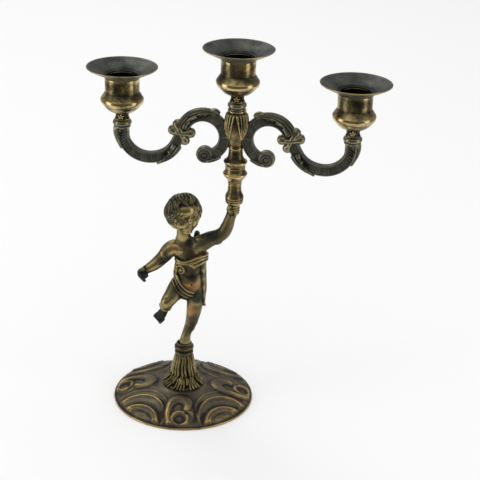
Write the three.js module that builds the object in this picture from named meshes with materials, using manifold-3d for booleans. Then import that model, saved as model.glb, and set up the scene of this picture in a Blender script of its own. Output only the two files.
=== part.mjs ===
// Three-light table candelabra carried by a standing putto, in millimetres, +Z up.
// The origin lies on the table straight below the stem and its middle cup.
// The arms reach along +X and -X, and the front of the figure faces -Y.

import * as THREE from 'three';
import { mergeVertices } from 'three/addons/utils/BufferGeometryUtils.js';
import Module from 'manifold-3d';

const wasm = await Module();
wasm.setup();

// Fits
const seatGap = 0.3;            // left between two pieces that seat on each other
const boltGap = 0.3;            // round a rod, stud or pin in its hole, on the radius

// Base
const baseRadius = 53.5;
const baseOffset = 35;          // from the stem's axis to the base's axis
const baseCrown = 11.3;         // height of the dome where the tassel stands
const baseWall = 2.2;
const rimWidth = 3;             // flat ring that rests on the table
const rimHeight = 1.2;
const lobeRise = 2.4;           // how far the fans and scrolls stand out of the dome
const ornamentTurn = 8;         // degrees from the front to the middle of the front scroll

// Tassel, its collar and the tie rod
const skirtHeight = 24.9;
const skirtTopRadius = 6.9;
const skirtWaistRadius = 9.5;
const skirtSpread = 15.9;       // radius over the tips of the strands
const strandCount = 20;
const collarHeight = 7.6;
const collarRadius = 7.4;
const lipHeight = 1.6;
const lipWall = 1.1;
const footRadius = 4.3;         // the standing foot where it goes into the collar
const tieRodRadius = 1.6;
const tieRodGrip = 5;           // length screwed into the foot
const tieRodTail = 1;           // length that shows below the nut
const nutRadius = 4.2;
const nutHeight = 3;
const washerRadius = 6;
const washerHeight = 1;

// Putto
const handTop = 118.5;          // top of the fist above the sole of the standing foot
const headHeight = 108.1;       // middle of the head above the same sole
const neckDepth = 12.1;         // from the middle of the head down to the neck's top inside it
const trimBlock = 60;           // block that cuts the foot and the fist off level

// Stem, from the fist upwards
const fistRadius = 4.9;
const spigotRadius = 2.4;
const spigotLength = 6;
const bulbHeight = 15.8;
const bulbRadius = 6.8;
const balusterHeight = 26.1;
const discRadius = 9;
const neckRadius = 5;           // slimmest radius of the stem
const urnHeight = 29.2;
const urnRadius = 8.8;
const ringHeight = 5.6;
const ringRadius = 6.85;
const rodRadius = 2.1;
const rodGrip = 9;              // length of rod or stud screwed into a cup or an arm

// Arms
const armReach = 82.8;          // from the stem's axis to a side cup's axis
const scrollRadius = 15.2;      // centreline of the inner scroll
const scrollInset = 8.3;        // nearest the centreline comes to the stem's axis
const scrollLift = 8;           // centre of the scroll above the foot of the urn
const sweepRadius = 19.2;       // centreline of the outer sweep
const sweepStep = 3.4;          // from the scroll to the sweep, across the knot
const armEndLift = 2.2;         // top of the arm above the centre of the scroll
const armRise = 2.3;            // straight length below the top of the arm
const armHalfWidth = 4.2;
const armHalfDepth = 3.5;
const voluteRadius = 6.3;
const voluteHalfDepth = 4.2;
const voluteTuck = 1.2;         // how far the volute lies inside the end of the scroll
const knotRadius = 7.2;         // from the middle of the knot to the middle of a lobe
const knotLobe = 3.3;
const knotRise = 0.9;           // how far its bars stand out of the band
const armPinRadius = 1.1;
const armPinLength = 7;
const armPinInset = 0.9;        // from the scroll's centreline to the middle of the pin, inwards

// Cups and pans
const boreRadius = 11.05;       // takes a 22 mm candle
const cupHeight = 30.9;
const cupNeckRadius = 12.45;
const cupNeckLength = 10.7;
const cupBellyRadius = 15.6;
const spoolRadius = 5.1;
const spoolLength = 5;
const socketFloor = 2.4;        // metal between the socket and the threaded hole
const panRadius = 25.5;
const panHeight = 7.4;
const panWall = 0.9;

// Corners round a full turn
const corners = { pin: 10, stem: 16, cup: 18, pan: 24, base: 108, limb: 8, torso: 12, cloth: 6 };

const brass = (color, roughness) => new THREE.MeshStandardMaterial({ color, roughness, metalness: 1 });
const finish = {
  base: brass(0x6a5a38, 0.45),
  figure: brass(0x77683c, 0.42),
  stem: brass(0x8a7138, 0.38),
  arm: brass(0x3d3a2c, 0.5),
  cup: brass(0x84683a, 0.35),
  pan: brass(0x4b4d40, 0.45),
  steel: brass(0x8d8d8a, 0.4),
};

const degrees = THREE.MathUtils.degToRad;

// Joining and cutting

function toSolid(geometry) {
  const bare = new THREE.BufferGeometry();
  bare.setAttribute('position', geometry.getAttribute('position'));
  bare.setIndex(geometry.getIndex());
  const merged = mergeVertices(bare, 1e-4);
  const points = merged.getAttribute('position').array;
  const corner = merged.getIndex().array;
  const kept = [];
  let volume = 0;
  for (let i = 0; i < corner.length; i += 3) {
    const [a, b, c] = corner.slice(i, i + 3);
    if (a === b || b === c || a === c) continue;
    kept.push(a, b, c);
    const [p, q, r] = [a, b, c].map((k) => new THREE.Vector3().fromArray(points, 3 * k));
    volume += p.dot(q.cross(r));
  }
  if (volume < 0) kept.reverse();
  const mesh = new wasm.Mesh({
    numProp: 3,
    vertProperties: new Float32Array(points),
    triVerts: new Uint32Array(kept),
  });
  return new wasm.Manifold(mesh);
}

function toGeometry(shape) {
  const { vertProperties, triVerts } = shape.getMesh();
  const geometry = new THREE.BufferGeometry();
  geometry.setAttribute('position', new THREE.BufferAttribute(new Float32Array(vertProperties), 3));
  geometry.setIndex(new THREE.BufferAttribute(new Uint32Array(triVerts), 1));
  return geometry;
}

const joined = (...shapes) => toGeometry(shapes.map(toSolid).reduce((sum, shape) => sum.add(shape)));
const cut = (shape, ...tools) => toGeometry(tools.map(toSolid).reduce((rest, tool) => rest.subtract(tool),
  toSolid(shape)));

// Shapes

// A skin over rings of points with the same number of corners. The rings at its ends are shut to a point,
// or the last ring runs on into the first.
function skinned(rings, closed = false) {
  const sides = rings[0].length;
  const points = rings.flat();
  const index = [];
  const strips = closed ? rings.length : rings.length - 1;
  for (let i = 0; i < strips; i += 1) {
    for (let k = 0; k < sides; k += 1) {
      const next = (k + 1) % sides;
      const [a, b] = [i * sides + k, i * sides + next];
      const [c, d] = [((i + 1) % rings.length) * sides + k, ((i + 1) % rings.length) * sides + next];
      index.push(a, b, c, b, d, c);
    }
  }
  const geometry = new THREE.BufferGeometry().setFromPoints(points);
  geometry.setIndex(index);
  return geometry;
}

// A ring shrunk to its middle, which closes an end
function shut(ring) {
  const middle = ring.reduce((sum, point) => sum.add(point), new THREE.Vector3()).divideScalar(ring.length);
  return ring.map(() => middle.clone());
}

// A turned piece. Its profile of [radius, height] points ends on the axis or closes on itself.
function turned(profile, sides) {
  const points = profile.map(([radius, height]) => new THREE.Vector2(radius, height));
  return new THREE.LatheGeometry(points, sides).rotateX(Math.PI / 2);
}

function rod(radius, bottom, top) {
  return turned([[0, bottom], [radius, bottom], [radius, top], [0, top]], corners.pin);
}

function washer(inside, outside, bottom, top, sides) {
  return turned([
    [inside, bottom], [outside, bottom], [outside, top], [inside, top], [inside, bottom],
  ], sides);
}

function block(width, depth, height, x, y, z) {
  return new THREE.BoxGeometry(width, depth, height).translate(x, y, z);
}

function ball([x, y, z], [rx, ry, rz], sides = corners.pin) {
  const rows = Math.round(sides * 0.6);
  return new THREE.SphereGeometry(1, sides, rows).rotateX(Math.PI / 2).scale(rx, ry, rz).translate(x, y, z);
}

// A limb or fold swept through stations [x, y, z, half width, half depth], rounded at both ends.
// The depth of each section lies as near to Y as its direction allows.
function swept(stations, sides, grow = 0) {
  const places = stations.map(([x, y, z]) => new THREE.Vector3(x, y, z));
  const last = places.length - 1;
  const sections = places.map((place, i) => {
    const along = places[Math.min(i + 1, last)].clone().sub(places[Math.max(i - 1, 0)]).normalize();
    const deep = new THREE.Vector3(0, 1, 0).addScaledVector(along, -along.y).normalize();
    const wide = new THREE.Vector3().crossVectors(deep, along);
    const [, , , width, depth = width] = stations[i];
    return { place, along, deep, wide, width: width + grow, depth: depth + grow };
  });
  const rounded = (section, way, share, size) => {
    const reach = way * share * Math.min(section.width, section.depth);
    return {
      ...section,
      place: section.place.clone().addScaledVector(section.along, reach),
      width: section.width * size,
      depth: section.depth * size,
    };
  };
  const [first, final] = [sections[0], sections[last]];
  const rings = [
    rounded(first, -1, 0.95, 0.35), rounded(first, -1, 0.55, 0.8), ...sections,
    rounded(final, 1, 0.55, 0.8), rounded(final, 1, 0.95, 0.35),
  ].map(({ place, deep, wide, width, depth }) => Array.from({ length: sides }, (_, k) => {
    const angle = (2 * Math.PI * k) / sides;
    return place.clone()
      .addScaledVector(wide, width * Math.cos(angle))
      .addScaledVector(deep, depth * Math.sin(angle));
  }));
  return skinned([shut(rings[0]), ...rings, shut(rings[rings.length - 1])]);
}

const candelabra = new THREE.Group();

function groupAt(x) {
  const group = new THREE.Group();
  group.position.x = x;
  candelabra.add(group);
  return group;
}

function piece(name, shape, material, parent = candelabra) {
  const geometry = toGeometry(toSolid(shape));
  geometry.computeVertexNormals();
  const mesh = new THREE.Mesh(geometry, material);
  mesh.name = name;
  parent.add(mesh);
}

// Heights, from the table up
const skirtBottom = baseCrown + seatGap;
const skirtTop = skirtBottom + skirtHeight;
const collarBottom = skirtTop + seatGap;
const collarTop = collarBottom + collarHeight;
const soleHeight = collarTop + seatGap;
const fistTop = soleHeight + handTop;
const bulbBottom = fistTop + seatGap;
const balusterBottom = bulbBottom + bulbHeight + seatGap;
const urnBottom = balusterBottom + balusterHeight + seatGap;
const urnTop = urnBottom + urnHeight;
const scrollHeight = urnBottom + scrollLift;
const armTop = scrollHeight + armEndLift;
const sweepHeight = armTop - armRise;

// Places across, from the stem's axis
const scrollCentre = scrollInset + scrollRadius;
const sweepCentre = armReach - sweepRadius;
const sweepStart = scrollCentre + scrollRadius + sweepStep;
const knotAcross = sweepStart - 0.8 * sweepStep;
const knotHeight = sweepHeight + 1.5;

const boltHole = rodRadius + boltGap;
const tieHole = tieRodRadius + boltGap;

// Base: a hollow dome with a band of fans and scrolls round its slope

function domeHeight(radius) {
  return baseCrown - (baseCrown - rimHeight) * (radius / baseRadius) ** 2.7;
}

// Middle line of a scroll and half its width, and the rings of a fan, in shares of the base's radius
const scrollLine = [
  [0.963, -0.103, 0.03], [0.897, -0.142, 0.037], [0.804, -0.161, 0.043], [0.692, -0.153, 0.05],
  [0.579, -0.123, 0.064], [0.495, -0.06, 0.082], [0.475, 0.007, 0.092], [0.505, 0.075, 0.086],
  [0.57, 0.116, 0.071], [0.645, 0.12, 0.056], [0.684, 0.101, 0.041],
];
const fanMoon = { out: 1.16, across: 0.15, ridge: 0.348, groove: 0.437 };
const fanRib = { out: 1, across: 0.075, ridge: 0.411 };
const fanEdge = { out: 0.907, reach: 0.458, slope: 0.168 };

function softStep(share) {
  const t = Math.min(Math.max(share, 0), 1);
  return t * t * (3 - 2 * t);
}

function ridge(away, width) {
  return Math.exp(-((away / width) ** 2));
}

// Distance to the scroll's middle line, as a share of its half width there
function scrollShare(out, across) {
  const shares = scrollLine.slice(1).map(([toOut, toAcross, toHalf], i) => {
    const [fromOut, fromAcross, fromHalf] = scrollLine[i];
    const [stepOut, stepAcross] = [toOut - fromOut, toAcross - fromAcross];
    const along = (out - fromOut) * stepOut + (across - fromAcross) * stepAcross;
    const t = Math.min(Math.max(along / (stepOut ** 2 + stepAcross ** 2), 0), 1);
    const away = Math.hypot(out - fromOut - t * stepOut, across - fromAcross - t * stepAcross);
    return away / (fromHalf + t * (toHalf - fromHalf));
  });
  return Math.min(...shares);
}

function fanRise(out, across) {
  const moon = Math.hypot(out - fanMoon.out, across - fanMoon.across);
  const rib = Math.hypot(out - fanRib.out, across - fanRib.across);
  const edge = Math.hypot(out - fanEdge.out, across);
  const swell = 0.65 * softStep((fanEdge.reach - edge) / fanEdge.slope);
  const ribs = 0.5 * ridge(moon - fanMoon.ridge, 0.042) + 0.4 * ridge(rib - fanRib.ridge, 0.028);
  return swell + ribs - 0.35 * ridge(moon - fanMoon.groove, 0.03);
}

// How far the ornament stands out: four scrolls, and four mirrored fans between them
function ornamentRise(radius, angle) {
  const out = radius / baseRadius;
  let rise = 0;
  for (let i = 0; i < 4; i += 1) {
    const turn = angle - degrees(ornamentTurn + 90 * i);
    const share = scrollShare(out * Math.cos(turn), out * Math.sin(turn));
    const mirrored = (i % 2 ? -1 : 1) * (turn + degrees(45));
    const [fanOut, fanAcross] = [out * Math.cos(mirrored), out * Math.sin(mirrored)];
    if (fanOut > 0) rise = Math.max(rise, fanRise(fanOut, fanAcross));
    if (share < 1) rise = Math.sqrt(1 - share * share);
  }
  return lobeRise * rise * softStep((baseRadius - 1 - radius) / (rimWidth - 1));
}

function baseDome() {
  const ring = (radius, height) => Array.from({ length: corners.base }, (_, k) => {
    const angle = (2 * Math.PI * k) / corners.base;
    return new THREE.Vector3(radius * Math.sin(angle), -radius * Math.cos(angle), height(radius, angle));
  });
  const seat = skirtSpread + 1;
  const slopes = 14;
  const rings = [ring(tieHole, () => baseCrown), ring(seat, () => baseCrown)];
  for (let i = 1; i <= slopes; i += 1) {
    const radius = seat + ((baseRadius - seat) * i) / slopes;
    rings.push(ring(radius, (r, angle) => Math.min(domeHeight(r), baseCrown) + ornamentRise(r, angle)));
  }
  const hollow = baseRadius - rimWidth - 1;
  rings.push(ring(baseRadius, () => 0), ring(baseRadius - rimWidth, () => 0));
  for (const share of [1, 0.8, 0.55]) rings.push(ring(hollow * share, (r) => domeHeight(r) - baseWall));
  rings.push(ring(nutRadius + 3, () => baseCrown - baseWall), ring(tieHole, () => baseCrown - baseWall));
  return skinned(rings, true);
}

// Tassel: a long tier of strands over a short one that splays on the dome
function tasselSkirt() {
  const tier = 0.29 * skirtHeight;
  const upper = skirtHeight - tier;
  const levels = [
    [skirtTopRadius, skirtTop, 0.04],
    [skirtTopRadius * 1.03, skirtTop - 0.25 * upper, 0.1],
    [skirtWaistRadius * 0.87, skirtTop - 0.65 * upper, 0.12],
    [skirtWaistRadius, skirtBottom + tier, 0.12],
    [skirtWaistRadius * 0.93, skirtBottom + tier - 1, 0.08],
    [skirtSpread * 0.76, skirtBottom + 0.5 * tier, 0.12],
    [skirtSpread, skirtBottom + 1.4, 0.14],
    [skirtSpread * 0.97, skirtBottom, 0.14],
  ];
  const rings = levels.map(([radius, height, groove]) => Array.from({ length: 2 * strandCount }, (_, k) => {
    const angle = (Math.PI * k) / strandCount;
    const reach = radius * (1 - groove * (k % 2));
    return new THREE.Vector3(reach * Math.cos(angle), reach * Math.sin(angle), height);
  }));
  const skirt = skinned([shut(rings[0]), ...rings, shut(rings[rings.length - 1])]);
  return cut(skirt, rod(tieHole, skirtBottom - 1, skirtTop + 1));
}

// Collar: two turned rings over the tassel, with a raised lip round the foot
function skirtCollar() {
  const lipInside = footRadius + 0.5;
  const lipOutside = lipInside + lipWall;
  const band = (share) => collarBottom + share * collarHeight;
  return turned([
    [tieHole, collarBottom], [skirtTopRadius - 0.4, collarBottom], [0.95 * collarRadius, band(0.1)],
    [0.95 * collarRadius, band(0.27)], [0.88 * collarRadius, band(0.37)], [collarRadius, band(0.52)],
    [collarRadius, band(0.74)], [0.9 * collarRadius, band(0.9)], [lipOutside, collarTop],
    [lipOutside, collarTop + lipHeight], [lipInside, collarTop + lipHeight], [lipInside, collarTop],
    [tieHole, collarTop], [tieHole, collarBottom],
  ], corners.stem);
}

const baseGroup = groupAt(-baseOffset);
const washerTop = baseCrown - baseWall - seatGap;
const nutTop = washerTop - washerHeight - seatGap;
const nutBottom = nutTop - nutHeight;
piece('base_dome', baseDome(), finish.base, baseGroup);
piece('tassel_skirt', tasselSkirt(), finish.base, baseGroup);
piece('skirt_collar', skirtCollar(), finish.base, baseGroup);
piece('base_washer', washer(tieHole, washerRadius, washerTop - washerHeight, washerTop, corners.stem),
  finish.steel, baseGroup);
piece('base_nut', washer(tieHole, nutRadius, nutBottom, nutTop, 6), finish.steel, baseGroup);
piece('tie_rod', rod(tieRodRadius, nutBottom - tieRodTail, soleHeight + tieRodGrip), finish.steel, baseGroup);

// Putto. Stations are [x from the base's axis, y, height over the sole, half width, half depth].

function onSole(stations) {
  return stations.map(([x, y, z, ...section]) => [x - baseOffset, y, z + soleHeight, ...section]);
}

const standingLeg = onSole([
  [0.4, 0, 0.6, footRadius], [1.2, 0, 6.5, footRadius - 0.3], [2.4, 0.8, 11.1, 3.8], [4, 1, 15.2, 4.3],
  [5.2, 0.3, 19, 4.9], [6.1, -0.6, 23.2, 5.3], [7.3, -0.8, 30.7, 5.9], [7.9, -0.5, 38.1, 6.4],
  [8.1, 0, 44.7, 7], [7.6, 0, 50.3, 7],
]);

const liftedLeg = onSole([
  [-4.6, -0.5, 50, 7], [-6.6, -2.2, 47.2, 6.5], [-8.9, -5, 42.6, 6.3], [-11, -7.2, 39.6, 5.8],
  [-12.6, -8.2, 36.4, 5.2], [-13.2, -5, 33.6, 4.8], [-14, 0, 30.6, 4.4], [-15.2, 4.6, 27.8, 3.7],
]);

const liftedFoot = onSole([
  [-15, 5.4, 28, 3.4], [-16.4, 6.4, 24.6, 3.3], [-18.4, 6.2, 20.8, 3.6, 3], [-20.4, 5.4, 17, 3.8, 2.4],
]);

const torso = onSole([
  [2.4, -0.2, 44.6, 9.4, 7], [2.1, -0.6, 47.2, 10.9, 8.2], [1.9, -1.2, 51, 11.6, 8.8],
  [2.6, -1.4, 55.6, 11.4, 9], [3.2, -0.9, 60, 10.7, 8.2], [4.1, 0, 65.4, 9.8, 7.4], [4, 0.2, 69, 10.3, 7.4],
  [3.6, 0.3, 74.8, 11.8, 7.4], [1.6, 0.3, 79.8, 12.4, 6.8], [-0.6, 0.4, 84, 11, 5.6],
  [-1.6, 0.2, 87.2, 7.2, 4.8], [-1.6, -0.4, 90.6, 4.4, 4.2],
  [-1.8, -0.8, headHeight - neckDepth, 4, 4],
]);

// Twisted sash right round the chest, higher on the side of the raised arm
function chestSash() {
  const turns = 20;
  const path = Array.from({ length: turns + 1 }, (_, i) => {
    const [cos, sin] = [Math.cos((2 * Math.PI * i) / turns), Math.sin((2 * Math.PI * i) / turns)];
    return [4.4 + 11.2 * cos, 0.2 + 7.6 * sin, 68.6 + 3.4 * cos + 1.2 * sin, 1.7 + 0.9 * cos, 1.3];
  });
  return swept(onSole(path), corners.cloth);
}

const loinCloth = onSole([
  [-6.6, 0, 59.4, 1.5, 2], [-5.4, -5, 57.4, 1.8, 1.7], [-2.6, -8.4, 53.4, 1.8, 1.4],
  [0.8, -9.4, 49.4, 1.8, 1.4], [5, -8.8, 45.8, 1.9, 1.4], [7.6, -7.2, 44.4, 1.5, 1.3],
]);

const hangingCloth = onSole([
  [13.4, 2.6, 71, 1.3, 3.2], [14, 3.4, 62, 1.3, 3.6], [14, 3.8, 52, 1.3, 3.8], [13.6, 3.8, 42, 1.3, 3.4],
  [13, 3.4, 35.2, 1.4, 2],
]);

const thighCloth = onSole([[-1.5, 2, 45, 4, 3], [-5, 1.5, 40.6, 3.4, 2.2], [-7.6, 0, 37.4, 2, 1.6]]);

function puttoTrunk(grow = 0) {
  return joined(
    swept(torso, corners.torso, grow),
    swept(standingLeg, corners.limb, grow),
    swept(liftedLeg, corners.limb, grow),
  );
}

function puttoBody() {
  const folds = [loinCloth, hangingCloth, thighCloth].map((path) => swept(path, corners.cloth));
  const socket = rod(tieHole, soleHeight - 1, soleHeight + tieRodGrip + boltGap).translate(-baseOffset, 0, 0);
  const below = block(trimBlock, trimBlock, trimBlock, -baseOffset, 0, soleHeight - trimBlock / 2);
  return cut(joined(puttoTrunk(), swept(liftedFoot, 8), chestSash(), ...folds), socket, below);
}

const headMiddle = [-baseOffset - 2.1, 0.6, soleHeight + headHeight];
const hair = [13.5, 12.8, 14.4];        // half width, half depth and half height of the hair

function puttoHead() {
  const [x, y, z] = headMiddle;
  const [wide, deep, tall] = hair;
  const curls = [];
  for (const [row, low] of [-0.6, -0.1].entries()) {
    for (let i = 0; i < 7; i += 1) {
      const angle = degrees(-10 + (i + 0.5 * row) * 36);
      const ring = 0.72 * Math.sqrt(1 - low * low);
      const across = x - 1 + wide * ring * Math.cos(angle);
      const back = y + 1 + deep * ring * Math.sin(angle);
      curls.push(ball([across, back, z + tall * low], [4, 4, 4.4], 7));
    }
  }
  const crown = ball([x + 0.7, y, z + 1.2], [0.96 * wide, deep, tall - 1.2], corners.torso);
  const face = ball([x + 2.9, y - 4.3, z - 3], [8.6, 9, 10.4]);
  const nose = ball([x + 7, y - 12.2, z - 1.9], [1.5, 1.8, 2], 8);
  return cut(joined(crown, face, nose, ...curls), puttoTrunk(seatGap));
}

// Room round the head, so that no shoulder reaches into the hair
const headRoom = ball(headMiddle, hair.map((size) => size + 1.6), corners.torso);

const raisedPath = [
  ...onSole([
    [8, 0.2, 80, 6.4], [12, 0.2, 85.4, 6.6], [17.4, 0, 88.8, 6.2], [21.9, 0, 90.9, 5.6], [28.1, 0.3, 95.1, 5],
  ]),
  [-4.2, 0.3, fistTop - 17.8, 4.5], [-3, 0.2, fistTop - 13.4, 4.2], [-2.1, 0, fistTop - 9.7, 4.1],
  [-1.2, 0, fistTop - 6.3, 4.5],
];

function raisedArm() {
  const fist = swept([
    [-0.5, 0, fistTop - 7, 0.9 * fistRadius], [-0.5, 0, fistTop - 4, fistRadius],
    [-0.4, 0, fistTop, 0.95 * fistRadius],
  ], corners.pin);
  const above = block(trimBlock, trimBlock, trimBlock, 0, 0, fistTop + trimBlock / 2);
  const grip = rod(spigotRadius + boltGap, bulbBottom - spigotLength - seatGap, bulbBottom);
  return cut(joined(swept(raisedPath, corners.limb), fist), above, grip, puttoTrunk(seatGap), headRoom);
}

const loweredPath = onSole([
  [-4, 0.2, 79, 6], [-9.2, 0, 81.2, 6.2], [-12.8, -0.4, 77.4, 5.9], [-15.8, -1, 73, 5.4],
  [-20.1, -2, 67.7, 4.9], [-24.3, -4, 64.9, 4.4], [-29, -5, 61.6, 3.8], [-31, -5.6, 60, 4, 3.2],
  [-32.6, -6.2, 58.4, 4.3, 3],
]);

function loweredArm() {
  const fingers = swept(onSole([[-31.6, -7.4, 59, 2.8, 2], [-33.4, -7.8, 56.4, 2.9, 2]]), corners.limb);
  const thumb = swept(onSole([[-29.6, -6.6, 62.8, 1.7], [-32.4, -8, 63, 1.5]]), corners.cloth);
  return cut(joined(swept(loweredPath, corners.limb), fingers, thumb), puttoTrunk(seatGap), headRoom);
}

piece('putto_body', puttoBody(), finish.figure);
piece('putto_head', puttoHead(), finish.figure);
piece('putto_left_arm', raisedArm(), finish.figure);
piece('putto_right_arm', loweredArm(), finish.figure);

// Stem: bulb, baluster and urn threaded on one rod, which also carries the middle cup

function gripBulb() {
  const top = bulbBottom + bulbHeight;
  const at = (share) => bulbBottom + share * bulbHeight;
  return turned([
    [0, bulbBottom - spigotLength], [spigotRadius, bulbBottom - spigotLength], [spigotRadius, bulbBottom],
    [0.79 * bulbRadius, bulbBottom], [bulbRadius, at(0.2)], [bulbRadius, at(0.36)],
    [0.82 * bulbRadius, at(0.54)], [neckRadius, at(0.68)], [neckRadius, top], [boltHole, top],
    [boltHole, at(0.16)], [0, at(0.16)],
  ], corners.stem);
}

function baluster() {
  const top = balusterBottom + balusterHeight;
  const at = (share) => balusterBottom + share * balusterHeight;
  return turned([
    [boltHole, balusterBottom], [neckRadius, balusterBottom], [0.7 * discRadius, at(0.1)],
    [0.92 * discRadius, at(0.14)], [discRadius, at(0.18)], [discRadius, at(0.3)],
    [0.92 * discRadius, at(0.34)], [0.8 * discRadius, at(0.38)], [0.8 * discRadius, at(0.47)],
    [0.9 * discRadius, at(0.53)], [0.97 * discRadius, at(0.57)], [0.97 * discRadius, at(0.67)],
    [0.9 * discRadius, at(0.71)], [1.18 * neckRadius, at(0.78)], [1.04 * neckRadius, at(0.88)],
    [neckRadius, top], [boltHole, top], [boltHole, balusterBottom],
  ], corners.stem);
}

// Outline of the urn, which the arms are fitted to
const urnOutline = (grow = 0) => [
  [neckRadius, 0], [0.61 * urnRadius, 0.12], [0.8 * urnRadius, 0.29], [0.94 * urnRadius, 0.48],
  [urnRadius, 0.68], [0.94 * urnRadius, 0.86], [0.8 * urnRadius, 1],
].map(([radius, share]) => [radius + grow, urnBottom + share * urnHeight]);

function leafUrn() {
  const pinHoles = [-1, 1].map((side) => armPin(side, boltGap));
  const urn = turned([[boltHole, urnBottom], ...urnOutline(), [boltHole, urnTop], [boltHole, urnBottom]],
    corners.stem);
  return cut(urn, ...pinHoles);
}

// Ring under a cup, on a seat at the height given
function collarRing(seat) {
  const bottom = seat + seatGap;
  const at = (share) => bottom + share * ringHeight;
  return turned([
    [boltHole, bottom], [0.9 * ringRadius, bottom], [0.87 * ringRadius, at(0.2)],
    [0.95 * ringRadius, at(0.34)], [ringRadius, at(0.6)], [0.95 * ringRadius, at(0.87)],
    [0.86 * ringRadius, at(1)], [boltHole, at(1)], [boltHole, bottom],
  ], corners.stem);
}

const cupBottomOver = (seat) => seat + ringHeight + 2 * seatGap;

piece('grip_bulb', gripBulb(), finish.stem);
piece('baluster', baluster(), finish.stem);
piece('leaf_urn', leafUrn(), finish.stem);
piece('stem_rod', rod(rodRadius, bulbBottom + 0.16 * bulbHeight + boltGap, cupBottomOver(urnTop) + rodGrip),
  finish.steel);

// Arms: an inner scroll that ends in a volute, a knot, and an outer sweep up to the cup

// Pin that holds an arm to the urn, or with some growth the hole for it
function armPin(side, grow = 0) {
  const middle = side * (scrollInset - armPinInset);
  const length = armPinLength + 2 * grow;
  return new THREE.CylinderGeometry(armPinRadius + grow, armPinRadius + grow, length, corners.pin)
    .rotateZ(Math.PI / 2).translate(middle, 0, scrollHeight);
}

function armPath(side) {
  const points = [];
  const add = (across, height) => points.push(new THREE.Vector3(side * across, 0, height));
  for (let turn = 262; turn > 15; turn -= 16) {
    const [cos, sin] = [Math.cos(degrees(turn)), Math.sin(degrees(turn))];
    add(scrollCentre + scrollRadius * cos, scrollHeight + scrollRadius * sin);
  }
  for (let turn = -68; turn < 90; turn += 17) {
    const [cos, sin] = [Math.cos(degrees(turn)), Math.sin(degrees(turn))];
    const reach = turn < 0 ? sweepCentre - sweepStart : sweepRadius;
    add(sweepCentre + reach * sin, sweepHeight - sweepRadius * cos);
  }
  add(armReach, sweepHeight);
  add(armReach, armTop + 2);
  return new THREE.CatmullRomCurve3(points, false, 'centripetal');
}

// Section of the band: its flats face front and back, and its edges are rounded off
function armSection() {
  const [deep, wide] = [armHalfDepth, armHalfWidth];
  const outline = [
    [deep, 0.5 * wide], [0.65 * deep, wide], [-0.65 * deep, wide], [-deep, 0.5 * wide],
    [-deep, -0.5 * wide], [-0.65 * deep, -wide], [0.65 * deep, -wide], [deep, -0.5 * wide],
  ];
  return new THREE.Shape(outline.map(([x, y]) => new THREE.Vector2(x, y)));
}

// Knot where the two curves meet: four lobes at the ends of two crossed bars
function armKnot(side) {
  const place = (turn) => [
    side * (knotAcross + knotRadius * Math.cos(degrees(turn))), 0,
    knotHeight + knotRadius * Math.sin(degrees(turn)),
  ];
  return [[11, 181], [63, 248]].flatMap((ends) => [
    swept(ends.map((turn) => [...place(turn), 0.55 * knotLobe, armHalfDepth + knotRise]), corners.cloth),
    ...ends.map((turn) => ball(place(turn), [knotLobe, knotLobe, knotLobe], corners.limb)),
  ]);
}

function scrollArm(side) {
  const run = { steps: 36, bevelEnabled: false, extrudePath: armPath(side) };
  const band = new THREE.ExtrudeGeometry(armSection(), run);
  const place = (across, height) => [side * across, 0, height];
  const volute = turned([
    [0, -voluteHalfDepth], [0.72 * voluteRadius, -voluteHalfDepth], [voluteRadius, -0.5 * voluteHalfDepth],
    [voluteRadius, 0.5 * voluteHalfDepth], [0.72 * voluteRadius, voluteHalfDepth], [0, voluteHalfDepth],
  ], corners.stem).rotateX(Math.PI / 2)
    .translate(...place(scrollCentre - voluteTuck, scrollHeight - scrollRadius + voluteTuck));
  const leafTips = [
    [place(scrollCentre - 12.2, scrollHeight - scrollRadius - 0.2), [2.4, 2.6, 1.6]],
    [place(scrollCentre - 8.8, scrollHeight + scrollRadius + 3), [2.8, 2.8, 2.2]],
    [place(sweepStart + 0.4, sweepHeight - 12), [1.6, 2.6, 2]],
    [place(sweepCentre - 7.2, sweepHeight - sweepRadius - 3.8), [2.4, 2.6, 1.6]],
    [place(sweepCentre + 18.2, sweepHeight - 11.6), [2.2, 2.8, 2.2]],
  ].map(([middle, size]) => ball(middle, size, 7));
  const trim = 3 * ringRadius;
  const above = block(trim, trim, trim, side * armReach, 0, armTop + trim / 2);
  const studHole = rod(boltHole, armTop - rodGrip - boltGap, armTop + 1).translate(side * armReach, 0, 0);
  const outline = urnOutline(seatGap);
  const urnRoom = turned([[0, urnBottom], ...outline, [0, urnTop]], corners.stem);
  const arm = joined(band, volute, ...leafTips, ...armKnot(side));
  return cut(arm, above, studHole, urnRoom, armPin(side, boltGap));
}

// Cups, with the pans that catch the wax

function candleCup(bottom) {
  const top = bottom + cupHeight;
  const holeTop = bottom + rodGrip + boltGap;
  const floor = holeTop + socketFloor;
  const shoulder = top - cupNeckLength;
  const belly = (share) => bottom + spoolLength + share * (shoulder - bottom - spoolLength);
  return turned([
    [0, holeTop], [boltHole, holeTop], [boltHole, bottom], [1.1 * spoolRadius, bottom],
    [spoolRadius, bottom + 0.2 * spoolLength], [spoolRadius, bottom + spoolLength],
    [0.38 * cupBellyRadius, belly(0.07)], [0.69 * cupBellyRadius, belly(0.22)],
    [0.96 * cupBellyRadius, belly(0.46)], [cupBellyRadius, belly(0.61)], [0.96 * cupBellyRadius, belly(0.78)],
    [cupNeckRadius, shoulder], [cupNeckRadius, top], [boreRadius, top], [boreRadius, floor], [0, floor],
  ], corners.cup);
}

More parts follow.
